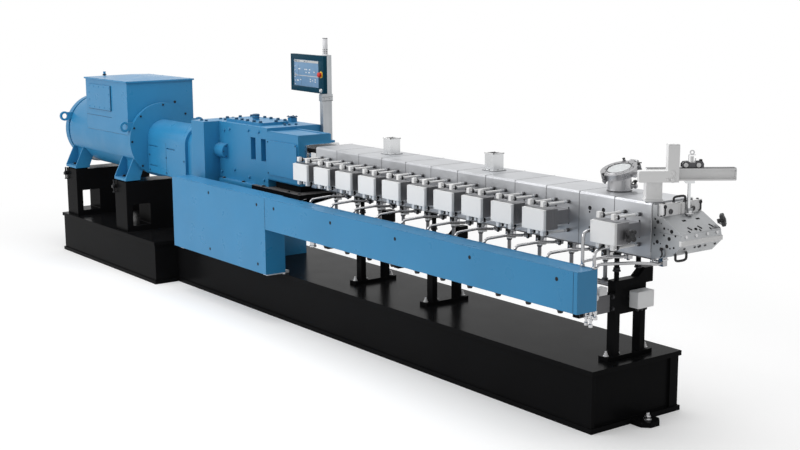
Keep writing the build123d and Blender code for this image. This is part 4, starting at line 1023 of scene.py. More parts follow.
@dataclass
class GearboxDetails(Assembly):
    """Bolts, plugs and bands of the gearbox."""

    top_bolts: Points = (
        (-1020, -143, 1452), (-1020, -20, 1452), (-1020, 91, 1452), (-960, 108, 1452), (-834, 108, 1452),
        (-726, 104, 1452), (-615, 104, 1452), (-506, 104, 1452), (-871, -141, 1452), (-780, -141, 1452),
        (-690, -141, 1452), (-483, -141, 1452), (-585, -141, 1452), (-475, 0, 1452),
    )
    near_bolts: Points = (
        (-957, -209, 1361), (-872, -209, 1376), (-799, -209, 1046), (-1010, -209, 1010), (-560, -209, 1010),
        (-330, -209, 1010), (-560, -209, 1390), (-400, -209, 1390),
    )
    output_bolts: Points = ((-447, 60, 1430), (-372, 20, 1430), (-372, 60, 1430), (-364, 120, 1430))
    bands: Boxes = (
        (-268, -205, 1403, 183, -168, 1409, 2), (-268, 55, 1403, 183, 88, 1409, 2),
        (150, -168, 1403, 183, 55, 1409, 2),
    )
    far_xs: Point = (-1000, -820, -640, -460, -310)
    neck_middle: Point = (213, 0, 1185)
    neck_circle: float = 126.0
    neck_bolts: int = 12
    cap_middle: Point = (-905, -205, 1190)
    cap_circle: float = 48.0
    cap_angles: Point = (120, 180, 240)

    def build(self) -> None:
        """Build every piece in turn."""
        self._top()
        self._sides()
        self._output()

    def _top(self) -> None:
        """Bolt the top cover down and finish the breather and the filler."""
        with self.piece("gearbox_top_bolts", SEAM_BLUE) as bolts:
            bolts.bolts(self.top_bolts, UP, 14, 13, 17, turn=11)
            bolts.bolts(grid((-1180, -1100), (-300, -120, 0), 1430), UP, 12, 10, 15, turn=7)
        with self.piece("gearbox_breather_cap", SEAM_BLUE) as cap:
            cap.lathe(at((-719, -44, 1487)), [(31, 0), (31, 10), (27, 15), (10, 17)])
            cap.lathe(at((-719, -44, 1470)), [(31, 0), (31, 5), (28, 7)])
        with self.piece("gearbox_filler_cap", SEAM_BLUE) as filler:
            filler.block((-626, 194, 1470), (-558, 262, 1476), 2)
            filler.bolts(grid((-616, -568), (204, 252), 1476), UP, 6, 5)

    def _sides(self) -> None:
        """Set the bolts and the split line of the near side and the bolts of the far side."""
        with self.piece("gearbox_near_bolts", CAST_BLUE_PAINT) as bolts:
            bolts.bolts(self.near_bolts, NEAR, 12, 10, 15, turn=13)
        with self.piece("gearbox_split_line", SEAM_BLUE) as seam:
            seam.block((-1046, -210, 1188), (-905, -209, 1192), 0.3)
        with self.piece("gearbox_far_bolts", CAST_BLUE_PAINT) as bolts:
            bolts.bolts(grid(self.far_xs, 331, (1000, 1330)), FAR, 13, 10, 17, turn=21)

    def _output(self) -> None:
        """Frame the output housing with its bands, and bolt the neck's flange and the shaft cap."""
        with self.piece("side_cover_screws", SEAM_BLUE) as cover:
            cover.cap_screws(grid((-245, 160), -221, (1080, 1327)), NEAR, 7, 4)
        with self.piece("output_top_band", CAST_BLUE_PAINT) as band:
            band.boxes(self.bands)
        with self.piece("output_bolts", SEAM_BLUE) as bolts:
            bolts.bolts(self.output_bolts, UP, 11, 9, 14, turn=5)
        with self.piece("neck_flange_bolts", FASTENER_STEEL) as ring:
            angles = [(index + 0.5) * 360 / self.neck_bolts for index in range(self.neck_bolts)]
            places = around(self.neck_middle, self.neck_circle, angles)
            ring.bolts(places, FORWARD, 8, 7, 10)
        with self.piece("shaft_cap_screws", SEAM_BLUE) as ring:
            ring.cap_screws(around(self.cap_middle, self.cap_circle, self.cap_angles), FORWARD, 6, 4)


@dataclass
class SidePanelDetails(Assembly):
    """Locks, seams, edge folds, glands and drain of the cabinet and of the cable duct."""

    locks: Points = (
        (152, -559, 911), (-601, -559, 911), (152, -559, 454), (-601, -559, 454), (398, -559, 911),
        (1151, -559, 911), (1904, -559, 911), (2657, -559, 911), (3410, -559, 911),
    )
    lock: Profile = ((8.4, 0), (8.4, 10), (12, 10), (12, 10.8), (3, 10.9), (2.6, 9))
    seams: Boxes = ((266, -569.8, 737, 270, -569, 973, 0.2), (3540, -569.8, 739, 3543, -569, 972, 0.2))
    folds: Boxes = (
        (268, -569, 973, 3573, -553, 975, 0.8), (268, -433, 973, 3573, -417, 975, 0.8),
        (-1228, -569, 973, 268, -553, 975, 0.8),
    )
    cover_screw: Profile = ((5, 0), (5, 1.2), (3.4, 2.6), (1.5, 2.9))
    gland: Profile = ((22, 0), (22, 9), (18, 12), (18, 26), (14, 36))
    drain: Profile = ((30, 0), (30, 8), (21, 12), (21, 46), (26, 48), (26, 58), (22, 60))
    duct_bottom: float = 737.0
    duct_top: float = 975.0
    screw_row: tuple[float, float, int] = (340.0, 280.0, 12)
    gland_row: tuple[float, float, int] = (3377.0, -264.0, 10)
    gland_y: float = -505.0
    collar_z: float = 727.0

    def build(self) -> None:
        """Build every piece in turn."""
        with self.piece("panel_locks", BLACK_AND_PAINTED_SHADE) as locks:
            locks.studs(self.locks, NEAR, self.lock)
        with self.piece("panel_seams", SEAM_BLUE) as seams:
            seams.boxes(self.seams)
        with self.piece("panel_folds", BLUE_PAINT) as folds:
            folds.boxes(self.folds)
        with self.piece("duct_cover_screws", BLUE_PAINT) as screws:
            places = grid(spaced(*self.screw_row), (-559, -426), self.duct_top)
            screws.studs(places, UP, self.cover_screw, 12)
        gland_xs = spaced(*self.gland_row)
        with self.piece("duct_bottom_glands", BLACK_PLASTIC) as glands:
            glands.studs(grid(gland_xs, self.gland_y, self.duct_bottom), DOWN, self.gland, 18)
        with self.piece("duct_gland_collars", DARK_STEEL) as collars:
            collars.bolts(grid(gland_xs, self.gland_y, self.collar_z), DOWN, 25, 8)
        with self.piece("duct_drain_spigot", FASTENER_STEEL) as drain:
            drain.lathe(at((800, -486, self.duct_bottom), DOWN), self.drain, 20)
        with self.piece("cabinet_bracket_bolts", FASTENER_STEEL) as bolts:
            bolts.bolts(((-1180, -400, 392), (236, -400, 392)), UP, 9, 8, 12)
            bolts.bolt(at((283, -420, 380)), 9, 9, 13)


@dataclass
class BarrelDetails(Assembly):
    """Seams, ties and painted shade of the sensor bores of the twelve barrel sections."""

    start_x: float = 370.0
    section: float = 280.0
    count: int = 12
    side_y: float = 168.0
    low_z: float = 1020.0
    top_z: float = 1338.0
    seam_half: float = 1.4
    seam_rise: float = 0.5
    tie_reach: float = 112.0
    tie_zs: Point = (1062, 1296)
    bore_reach: float = 54.0
    near_bore_zs: Point = (1136, 1226)
    far_bore_z: float = 1185.0
    vented_section: int = 10

    def build(self) -> None:
        """Build every piece in turn."""
        side, low, top, rise = self.side_y, self.low_z, self.top_z, self.seam_rise
        with self.piece("barrel_seams", DARK_STEEL) as seams:
            for index in range(self.count + 1):
                x = self.start_x + index * self.section
                start = x - (self.seam_half if index else 0)
                end = x + (self.seam_half if index < self.count else 0)
                seams.boxes((
                    (start, -side - rise, low, end, -side, top + rise, 0),
                    (start, side, low, end, side + rise, top + rise, 0),
                    (start, -side - rise, top, end, side + rise, top + rise, 0),
                    (start, -side - rise, low - rise, end, side + rise, low, 0),
                ))
        middles = spaced(self.start_x + self.section / 2, self.section, self.count)
        with self.piece("barrel_ties", FASTENER_STEEL) as ties:
            for middle in middles:
                places = grid((middle - self.tie_reach, middle + self.tie_reach), side, self.tie_zs)
                ties.cap_screws(places, FAR, 9, 6)
        # The bores are not cut: dark discs stand for their painted shade.
        with self.piece("barrel_sensor_bore_shade", BLACK_AND_PAINTED_SHADE) as bore_shades:
            for middle in middles:
                xs = (middle - self.bore_reach, middle + self.bore_reach)
                self._paint_bore_shade(bore_shades, grid(xs, -side, self.near_bore_zs), 6.0)
                self._paint_bore_shade(bore_shades, grid(xs, side, self.far_bore_z), 7.0)
            vented = middles[self.vented_section]
            self._paint_bore_shade(bore_shades, ((vented - 52, -side, 1249), (vented + 56, -side, 1251)), 13.0)

    @staticmethod
    def _paint_bore_shade(piece: MeshPiece, places: Points, radius: float) -> None:
        """Paint the shade inside blind bores as dark discs on a side of the barrel.

        Args:
            piece: the piece that takes them.
            places: middle of each mouth, all on one side.
            radius: radius of a mouth.
        """
        shade_disc = [(radius, 0), (radius, 0.6), (radius * 0.8, 0.7), (radius * 0.7, 0.2)]
        piece.studs(places, FAR if places[0][1] > 0 else NEAR, shade_disc, 18)


@dataclass
class TerminalBoxDetails(Assembly):
    """Covers, stems and glands of the boxes beside the barrel."""

    start_x: float = 510.0
    pitch: float = 280.0
    sections: tuple[int, ...] = (0, 1, 2, 3, 4, 5, 6, 7, 8, 9, 11)
    stem_shift: float = 55.0
    stem_zs: tuple[float, float] = (1095.0, 1265.0)
    strips: Boxes = (
        (89, -386, 1239.5, 94, -296, 1241.5, 0.5), (-94, -386, 1239.5, -89, -296, 1241.5, 0.5),
        (93, -386, 1118, 94.2, -296, 1121, 0.3),
    )
    ribs: Boxes = (
        (93, -363.5, 1120, 94.2, -360.5, 1237, 0.3), (93, -345.5, 1120, 94.2, -342.5, 1237, 0.3),
        (93, -319.5, 1120, 94.2, -316.5, 1237, 0.3),
    )
    screw_reach: float = 84.0
    screw_zs: Point = (1126, 1231)
    cover_screw: Profile = ((4, 0), (4, 1), (2.5, 2), (1.2, 1.2))
    gland: Profile = ((13, 0), (13, 7), (11, 9), (11, 17), (8, 20))

    def build(self) -> None:
        """Build every piece in turn."""
        middles = [self.start_x + section * self.pitch for section in self.sections]
        shifts = (-self.stem_shift, self.stem_shift)
        stems = [(middle + along, z) for middle in middles for along in shifts for z in self.stem_zs]
        with self.piece("stem_heads", STEM_WHITE) as heads:
            for x, z in stems:
                heads.block((x - 13, -385, z - 12), (x + 13, -358, z + 22), 3)
                heads.lathe(at((x, -332, z), FAR), [(8.4, 0), (8.4, 120), (7.4, 122)], 16)
            for middle in middles:
                heads.rod(at((middle + 4, -374, 1100), FAR), 20, 11)
        with self.piece("stem_collars", BLACK_STEEL) as collars:
            for x, z in stems:
                collars.lathe(at((x, -359, z), FAR), [(14.6, 0), (14.6, 16), (10.5, 22)], 20)
                collars.lathe(at((x, -337, z), FAR), [(10.5, 0), (10.5, 4), (9, 5)], 6)
        with self.piece("stem_tips", DARK_STEEL) as tips:
            tips.studs([(x, -186, z) for x, z in stems], FAR, [(7.6, 0), (11, 6), (11, 18)], 18)
        for name, look, rows in (("strips", FASTENER_STEEL, self.strips), ("ribs", BOX_METAL, self.ribs)):
            with self.piece(f"terminal_box_{name}", look) as trim:
                for middle in middles:
                    trim.boxes(rows, shift(middle, 0, 0))
        with self.piece("terminal_box_glands", WHITE_PAINT) as glands:
            glands.studs(grid(middles, -336, 1117), DOWN, self.gland, 14)
        with self.piece("terminal_box_screws", WHITE_PAINT) as screws:
            for middle in middles:
                places = grid((middle - self.screw_reach, middle + self.screw_reach), -404, self.screw_zs)
                screws.studs(places, NEAR, self.cover_screw, 12)


@dataclass
class CoolingDetails(Assembly):
    """Fittings, standpipes and valve gear of the cooling circuit."""

    first_joint: float = 650.0
    first_middle: float = 510.0
    pitch: float = 280.0
    count: int = 11
    tube_shift: float = -28.0
    coupling_shift: float = 74.0
    supply_y: float = -388.0
    valve_y: float = -85.0
    standpipes: tuple[Points, ...] = (
        ((3471, -432, 976), (3471, -432, 1158), (3471, -404, 1172), (3471, -300, 1172)),
        ((3560, -430, 976), (3560, -430, 1076), (3560, -340, 1088), (3560, -240, 1088)),
    )
    drains: Boxes = ((3465, 646), (3500, 640), (3535, 690))
    die_joints: Boxes = ((3700, 14, 15), (3722, 20, 13), (3748, 12, 16))
    clip_xs: Point = (862, 1706, 3406)
    clip: Profile = ((18.4, 0), (21, 0), (21, 24), (18.4, 24))

    def build(self) -> None:
        """Build every piece in turn."""
        self._tubes()
        self._valves()
        self._standpipes()
        with self.piece("die_tube_fitting", FASTENER_STEEL) as fitting:
            for start, length, radius in self.die_joints:
                fitting.rod(at((start, -123, 1004), FORWARD), length, radius)
            fitting.block((3790, -141, 1022), (3806, -105, 1030), 1)
        with self.piece("pipe_clips", DARK_STEEL) as clips:
            for x in self.clip_xs:
                clips.lathe(at((x - 12, self.supply_y, 800), FORWARD), self.clip, ring=True)
                clips.block((x - 12, -392, 770), (x + 12, -384, 781), 1)

    def _tubes(self) -> None:
        """Set the nuts of the tubes and couplings, the discs of the risers and the plugs."""
        tubes = spaced(self.first_joint + self.tube_shift, self.pitch, self.count)
        couplings = spaced(self.first_joint + self.coupling_shift, self.pitch, self.count)
        middles = spaced(self.first_middle, self.pitch, self.count)
        with self.piece("cooling_nuts", FASTENER_STEEL) as nuts:
            nuts.bolts(grid(tubes, self.supply_y, 818), UP, 14, 13)
            nuts.studs(grid(tubes, self.supply_y, 832), UP, [(12, 0), (12, 7), (9.6, 11)], 16)
            nuts.bolts(grid(couplings, -140, 1004), NEAR, 14, 12)
            nuts.bolts(grid(couplings, -106, 1004), FAR, 14, 10)
        with self.piece("cooling_valve_gear", DARK_STEEL) as gear:
            gear.studs(grid(middles, self.valve_y, 822), UP, [(19, 0), (19, 10), (14, 14)], 18)
            gear.studs(grid(middles, self.valve_y, 934), UP, [(15, 0), (17, 3), (17, 9)], 18)
        with self.piece("cooling_plugs", BLACK_STEEL) as plugs:
            plugs.cap_screws(grid(couplings, -123, 988), DOWN, 9, 8)

    def _valves(self) -> None:
        """Cap every valve with a coil and its plug."""
        middles = spaced(self.first_middle, self.pitch, self.count)
        with self.piece("valve_coils", BLACK_PLASTIC) as coils:
            for middle in middles:
                coils.block((middle - 16, -106, 958), (middle + 16, -93, 1008), 3)
        with self.piece("valve_nuts", FASTENER_STEEL) as nuts:
            nuts.studs(grid(middles, -106, 983), NEAR, [(9, 0), (9, 4), (6, 7)], 16)
            nuts.bolts(grid(middles, self.valve_y, 945), DOWN, 17, 10)
            nuts.bolts(grid([middle + 22 for middle in middles], -71, 982), FORWARD, 12, 9)

    def _standpipes(self) -> None:
        """Stand the two bent pipes in front of the vented section and hang the drains under it."""
        with self.piece("vent_standpipes", TUBE_STEEL) as pipes:
            for line in self.standpipes:
                pipes.tube(line, 10)
                pipes.lathe(at((*line[0][:2], 975)), [(14, 0), (14, 9), (11, 12)], 18)
        with self.piece("vent_pipe_fitting", STEM_WHITE) as ring:
            ring.lathe(at((3471, -345, 1172), FAR), [(12, 0), (19, 4), (19, 16), (12, 20), (12, 177)])
            ring.bolt(at((3471, -312, 1172), FAR), 18, 14)
            ring.lathe(at((3560, -252, 1088), FAR), [(11, 0), (16, 4), (16, 14), (11, 18), (11, 84)])
        with self.piece("supply_drains", FASTENER_STEEL) as drains:
            for x, low in self.drains:
                drains.rod(at((x, self.supply_y, low)), 786 - low, 8)
                drains.bolt(at((x, self.supply_y, low + 20)), 13, 14)
                drains.lathe(at((x, self.supply_y, low - 16)), [(12, 0), (12, 16), (9, 20)], 16)
            drains.rod(at((3455, self.supply_y, 690), FORWARD), 92, 7)


@dataclass
class SupportDetails(Assembly):
    """Anchoring and fastenings of the barrel supports and of the junction box."""

    places: Point = (862.0, 1706.0, 3406.0)
    plate_z: float = 395.0
    plate_ys: Point = (-163, 163)
    saddle_ys: Point = (-90, 90)
    gland_ys: Point = (24, 58, 92)

    def build(self) -> None:
        """Build every piece in turn."""
        feet = grid(self.places, self.plate_ys, self.plate_z)
        with self.piece("support_plate_bolts", STEM_WHITE) as bolts:
            bolts.studs(feet, UP, [(17, 0), (17, 4), (15, 5)])
            bolts.bolts([(x, y, z + 5) for x, y, z in feet], UP, 12, 13, turn=14)
            for x, y, z in feet:
                bolts.rod(at((x, y, z + 18)), 12, 7)
            for x in self.places:
                bolts.rod(at((x + 4, -60, self.plate_z)), 10, 7)
        with self.piece("support_saddle_bolts", BLACK_STEEL) as saddles:
            top, foot, head = (grid(self.places, self.saddle_ys, z) for z in (996, 890, 900))
            saddles.studs(top, DOWN, [(24, 0), (24, 10), (20, 14), (17, 14)])
            saddles.studs(foot, UP, [(24, 0), (24, 6), (20, 10), (17, 10)])
            saddles.bolts(head, UP, 22, 14, turn=8)
        with self.piece("duct_arm_bolts", BLACK_STEEL) as arm:
            arm.bolts(grid(self.places[2] + 30, (-400, -150), (682, 752)), FORWARD, 11, 9, 14, turn=10)
        with self.piece("duct_arm_plate", DARK_STEEL) as plate:
            plate.block((3436, -415, 667), (3439, -175, 768), 1)
        with self.piece("limit_switch_box", WHITE_PAINT) as box:
            box.block((3396, -262, 770), (3440, -196, 816), 4)
            box.lathe(at((3418, -229, 816)), [(9, 0), (9, 4), (5, 8)], 16)
        with self.piece("junction_box_screws", GREY_PAINT) as screws:
            screws.studs(grid(3502, (0, 116), (680, 760)), FORWARD, [(5, 0), (5, 1.5), (3, 2.6)], 12)
            screws.block((3501.5, -10, 762), (3502.6, 126, 764), 0.2)
        with self.piece("junction_box_glands", BLACK_PLASTIC) as glands:
            glands.bolts(grid(3469, self.gland_ys, 670), DOWN, 12, 7)
            glands.studs(grid(3469, self.gland_ys, 662), DOWN, [(10, 0), (10, 10), (7, 14)], 16)


@dataclass
class FeedSocketDetails(Assembly):
    """Flange screws, rims and foot seams of the two feed sockets."""

    places: Point = (1070.0, 2190.0)
    middle_y: float = 25.0
    screw_reach: float = 49.0

    def build(self) -> None:
        """Build every piece in turn."""
        reach = (-self.screw_reach, 0, self.screw_reach)
        steps = [(along, across) for along in reach for across in reach if along or across]
        middles = [shift(x, self.middle_y, 0) for x in self.places]
        with self.piece("feed_socket_screws", FASTENER_STEEL) as screws:
            for x in self.places:
                places = [(x + along, self.middle_y + across, 1344) for along, across in steps]
                screws.cap_screws(places, UP, 4.4, 4)
        with self.piece("feed_socket_rims", STEM_WHITE) as rims:
            for middle, turn in itertools.product(middles, range(4)):
                rims.block((-46.5, -46.5, 1448), (46.5, -37.6, 1454), 1.2, middle @ spin(90 * turn))
        with self.piece("feed_socket_base_seams", BLACK_STEEL) as seams:
            for middle, turn in itertools.product(middles, range(4)):
                seams.block((-57, -57, 1338), (57, -55, 1340), 0.3, middle @ spin(90 * turn))


@dataclass
class VentDetails(Assembly):
    """Clamps, seals and drain of the vent dome and its lid."""

    middle: tuple[float, float, float] = (3310.0, 16.0, 1450.0)
    tilt: float = 18.0
    lid_bottom: float = 0.3
    lid_top: float = 22.3
    clamp_angles: Point = (38.0, 118.0, 262.0)
    winged_angle: float = 38.0
    clamp_reach: float = 117.0

    def build(self) -> None:
        """Build every piece in turn."""
        seat = shift(*self.middle) @ spin(self.tilt, "X")
        top = self.lid_top
        with self.piece("sight_glass_seal", BLACK_PLASTIC, "lid") as seal:
            seal.lathe(seat, [(68.5, top), (69.5, top + 2.2), (73.5, top + 2.2), (74.5, top)], 56, ring=True)
        with self.piece("sight_glass_ring", VENT_STEEL, "lid") as ring:
            ring.lathe(seat, [(75, top), (76, top + 3), (88, top + 3), (90, top)], 56, ring=True)
            for index in range(12):
                ring.cap_screw(seat @ spin(30 * index) @ shift(82, 0, top + 3), 4, 3.5)
        self._clamps(seat)
        with self.piece("dome_base_ring", DARK_STEEL) as base:
            base.lathe(at((*self.middle[:2], 1338)), [(69.2, 0), (74, 0), (74, 3), (69.2, 6)], 56, ring=True)
        self._drain()

    def _clamps(self, seat: Matrix) -> None:
        """Clamp the lid to the dome with lugs and knobs, one of which has wings.

        Args:
            seat: the slanted seat of the lid.
        """
        turns = [seat @ spin(angle) for angle in self.clamp_angles]
        with self.piece("lid_clamp_lugs", BOX_METAL, "lid") as upper:
            for turn in turns:
                upper.block((106, -9, self.lid_bottom + 0.4), (126, 9, self.lid_top + 2), 3, turn)
        with self.piece("dome_clamp_lugs", BOX_METAL) as lower:
            for turn in turns:
                lower.block((106, -10, -20), (127, 10, -0.1), 3, turn)
                lower.bolt(turn @ at((self.clamp_reach, 0, -20), DOWN), 8, 7)
        with self.piece("lid_clamp_knobs", BLACK_PLASTIC, "lid") as knobs:
            feet = [turn @ shift(self.clamp_reach, 0, self.lid_top + 2) for turn in turns]
            for foot in feet:
                knobs.lathe(foot, [(5, 0), (5, 5), (9, 7), (9, 12), (4, 14)], 18)
            for wing in range(3):
                blade = feet[self.clamp_angles.index(self.winged_angle)] @ spin(120 * wing)
                knobs.block((3, -3, 6), (17, 3, 13), 2, blade)

    def _drain(self) -> None:
        """Fit the drain stub with its wing valve to the side of the neck."""
        x, y, _ = self.middle
        outward = Vector((0.6, 0.8, 0.0))
        start = Vector((x, y, 1366)) + outward * 64
        with self.piece("vent_drain_stub", VENT_STEEL) as stub:
            stub.lathe(at(start, outward), [(19, 0), (19, 10), (12, 14), (12, 40)])
            stub.bolt(at(start + outward * 22, outward), 17, 13)
        with self.piece("vent_drain_wing", BLACK_PLASTIC) as wing:
            place = at(start + outward * 28 + Vector((0, 0, 12)), (0.1, -0.1, 1))
            wing.lathe(place, [(8, 0), (8, 10), (13, 13), (13, 19), (9, 22)], 18)
            wing.block((-30, -5, 12), (30, 5, 19), 3, place @ Matrix.Rotation(0.9, 4, "Z"))


@dataclass
class DieDetails(Assembly):
    """Painted shade of bores, slots and pockets, lip bolts, clamps, knobs and handles of the die head."""

    side_y: float = 165.0
    # x, z and radius of each bore whose shade is painted as a dark disc on both cheeks.
    bore_shades: Boxes = (
        (3775.0, 1238.0, 10.5), (3874.0, 1198.0, 11.0), (3858.0, 1156.0, 11.0), (3774.0, 1128.0, 11.0),
        (3843.0, 1112.0, 11.0), (3902.0, 1177.0, 6.0), (3756.0, 1252.0, 6.0), (3755.0, 1203.0, 6.0),
        (3821.0, 1208.0, 7.0), (3753.0, 1163.0, 6.0), (3821.0, 1170.0, 6.0), (3751.0, 1114.0, 6.0),
        (3797.0, 1121.0, 3.5), (3866.0, 1104.0, 5.0), (3892.0, 1111.0, 6.0), (3799.0, 1232.0, 3.5),
        (3849.0, 1207.0, 3.5),
    )
    plugs: Boxes = ((3752, 1240), (3772, 1226), (3842, 1190), (3828, 1150), (3760, 1120), (3812, 1104))
    seams: Boxes = (
        (3729.5, -165.6, 1062, 3732.5, -165, 1331, 0), (3729.5, 165, 1062, 3732.5, 165.6, 1331, 0),
        (3729.5, -165.6, 1330, 3732.5, 165.6, 1330.8, 0), (3790, -165.6, 1181.5, 3925, -165, 1183, 0),
    )
    side_hook: Points = (
        (3806, -165, 1092), (3806, -178, 1092), (3818, -180, 1090), (3824, -180, 1076), (3824, -180, 1058),
        (3812, -178, 1050),
    )
    lip_screws: Point = (-126, -45, 48, 127)
    ledge: Profile = ((0, 0), (5.5, 0), (2, -34), (-9, -34))
    bar: Profile = ((0, 4), (4, 0), (4, -22), (-1, -25), (-14, -25), (-14, 4))
    lower_screws: Boxes = ((-135, 7), (-54, 7), (-6, 11), (32, 7), (115, 7))
    posts: Boxes = ((-20, 15), (16, 15), (62, 12), (-58, 10))
    clamp_tops: Boxes = ((3764, -152, 1334, 3802, -34, 1336, 0.6), (3764, 76, 1334, 3802, 162, 1336, 0.6))
    top_handle: Points = ((3772, -40, 1334), (3772, -40, 1364), (3772, 54, 1364), (3772, 54, 1334))
    bottom_handle: Points = ((3893, -150, 1075), (3893, -150, 1034), (3897, -66, 1034), (3897, -66, 1076))

    def build(self) -> None:
        """Build every piece in turn."""
        slope = plane((3806, 0, 1268), (0.863, 0, -0.505), (0.505, 0, 0.863))
        self._sides()
        self._slope(slope)
        self._lip(slope)
        self._clamps()
        self._knobs()
        with self.piece("die_top_handle", BLACK_PLASTIC) as handle:
            handle.tube(self.top_handle, 6.5)
            handle.studs(grid(3772, (-40, 54), 1330), UP, [(11, 0), (11, 5), (8, 8)], 18)
        with self.piece("die_bottom_handle", BLACK_PLASTIC) as bow:
            bow.tube(self.bottom_handle, 7)

    def _sides(self) -> None:
        """Plug the fixing holes and paint the shade of both cheeks' bores as dark discs."""
        with self.piece("die_cheek_plugs", DIE_STEEL) as plugs:
            for x, z in self.plugs:
                plugs.rod(at((x, 16 - self.side_y, z), NEAR), 16.2, 8.9, 24, 0.3)
        # Dark discs on both cheeks are painted shade inside the bores.
        with self.piece("die_cheek_bore_shade", BLACK_AND_PAINTED_SHADE) as bore_shades:
            for x, z, radius in self.bore_shades:
                shade_disc = [(radius, 0), (radius, 0.9), (radius - 1.2, 1.0), (radius - 2.2, 0.4)]
                for side in (-1, 1):
                    bore_shades.lathe(at((x, side * self.side_y, z), (0, side, 0)), shade_disc, 20)
        with self.piece("die_joint_seam", DARK_STEEL) as seam:
            seam.boxes(self.seams)
        with self.piece("die_side_hook", BLACK_STEEL) as hook:
            hook.tube(self.side_hook, 4.5, 10)
            hook.block((3796, -169, 1082), (3814, -165, 1100), 1.5)

    def _slope(self, slope: Matrix) -> None:
        """Paint the slots' shade as dark blocks, and set the index screw and the rod's foot on the slope and
        its shelf.

        Args:
            slope: the sloped face.
        """
        with self.piece("die_slope_slot_shade", BLACK_AND_PAINTED_SHADE) as slot_shades:
            # Dark blocks on the slope are painted shade in its slots.
            for across in (-41, 71):
                slot_shades.block((46, across - 14, 0), (58, across + 14, 0.8), 0.3, slope)
            slot_shades.lathe(slope @ shift(129, -19, 0), [(9, 0), (9, 3), (6, 4), (5, 2)], 18)
        with self.piece("suspension_foot", FASTENER_STEEL) as foot:
            foot.lathe(at((3809, 41, 1268)), [(27, 0), (27, 5), (24, 7)], 28)
            foot.bolt(at((3809, 41, 1275), turn=10), 22, 12)
        with self.piece("die_shelf_screws", DARK_STEEL) as shelf:
            shelf.cap_screws(grid(3786, (-150, -10, 20, 150), 1268), UP, 7, 6)

    def _lip(self, slope: Matrix) -> None:
        """Build the adjusting row with painted shade in its pockets, the lip bar and its screws.

        Args:
            slope: the sloped face.
        """
        screws = [at((3938, across + 2, 1172), (0.97, 0, 0.22)) for across in self.lip_screws]
        with self.piece("die_lip_pocket_shade", BLACK_AND_PAINTED_SHADE) as pocket_shades:
            # Dark blocks and rings are painted shade in the row's pockets and round its screws.
            for across, screw in zip(self.lip_screws, screws):
                turned = slope @ shift(0, across, 0) @ Matrix.Rotation(0.5, 4, "Z") @ shift(0, -across, 0)
                pocket_shades.block((122, across - 6, 0), (152, across + 6, 1.2), 0.3, turned)
                pocket_shades.lathe(screw, [(17, 0), (17, 0.8), (11, 1)], 20)
            for across in (3, 88, -86):
                pocket_shades.block((134, across - 5, 0), (152, across + 5, 1.2), 0.3, slope)
        with self.piece("die_lip_bolts", FASTENER_STEEL) as bolts:
            for screw in screws:
                bolts.bolt(screw @ shift(0, 0, 1), 11, 7)
        with self.piece("die_lip_ledge", DIE_STEEL) as ledge:
            ledge.prism(self.ledge, 324, plane((3937, 162, 1186), FORWARD, NEAR), 0.8)
        with self.piece("die_lip_bar", STEM_WHITE) as bar:
            bar.prism(self.bar, 338, plane((3946, 169, 1150), FORWARD, NEAR), 1.0)
        with self.piece("die_lower_screws", DARK_STEEL) as low:
            face = plane((3950, 0, 1130), (0.717, 0, 0.697), (0.697, 0, -0.717))
            for across, size in self.lower_screws:
                low.cap_screw(face @ shift(-36, across, 0), size, 4)

    def _clamps(self) -> None:
        """Dress the swing clamps with hooks, eye screws and round posts."""
        with self.piece("die_clamp_hooks", BLACK_STEEL) as hooks:
            for y, side in ((-142, -1), (148, 1)):
                hooks.tube(((3803, y, 1320), (3806, y, 1300), (3806, y, 1283),
                            (3806, y - 2 * side - 6, 1276), (3806, y - 16, 1276)), 3.4, 10)
                hooks.lathe(at((3801, y, 1322), FORWARD), [(5, 0), (10, 0), (10, 6), (5, 6)], 20, ring=True)
        with self.piece("die_clamp_eyes", DARK_STEEL) as eyes:
            for y in (-97, 86):
                place = at((3801, y, 1292), FORWARD)
                eyes.lathe(place, [(8, 0), (14, 0), (14, 7), (8, 7)], ring=True)
                eyes.bolt(place, 7, 5)
        with self.piece("die_clamp_posts", STEM_WHITE) as posts:
            for y, radius in self.posts:
                posts.lathe(at((3786, y, 1268)), [(radius, 0), (radius, 58), (radius - 3, 62), (5, 63)])
        with self.piece("die_clamp_gaps", GREY_PAINT) as tops:
            tops.boxes(self.clamp_tops)
        with self.piece("die_clamp_screws", DARK_STEEL) as screws:
            screws.cap_screws(grid(3783, (-132, -52, 92, 144), 1336), UP, 8, 6)

    def _knobs(self) -> None:
        """Fit the star knobs at both sides of the outlet."""
        with self.piece("die_star_knobs", KNOB_GREY) as knobs:
            for place, size in ((at((3683, -305, 1166), FORWARD), 1.1),
                                (at((3917, 158, 1226), (0.75, 0.55, 0.3)), 1.15)):
                foot = place @ Matrix.Scale(size, 4)
                knobs.lathe(foot, [(11, 0), (11, 14), (17, 18), (19, 34), (14, 40), (5, 42)], 20)
                for lobe in range(4):
                    turn = foot @ spin(45 + 90 * lobe)
                    knobs.lathe(turn @ shift(25, 0, 17), [(9, 0), (13, 3), (13, 16), (9, 20)], 18)
                    knobs.block((8, -7, 18), (26, 7, 35), 3, turn)


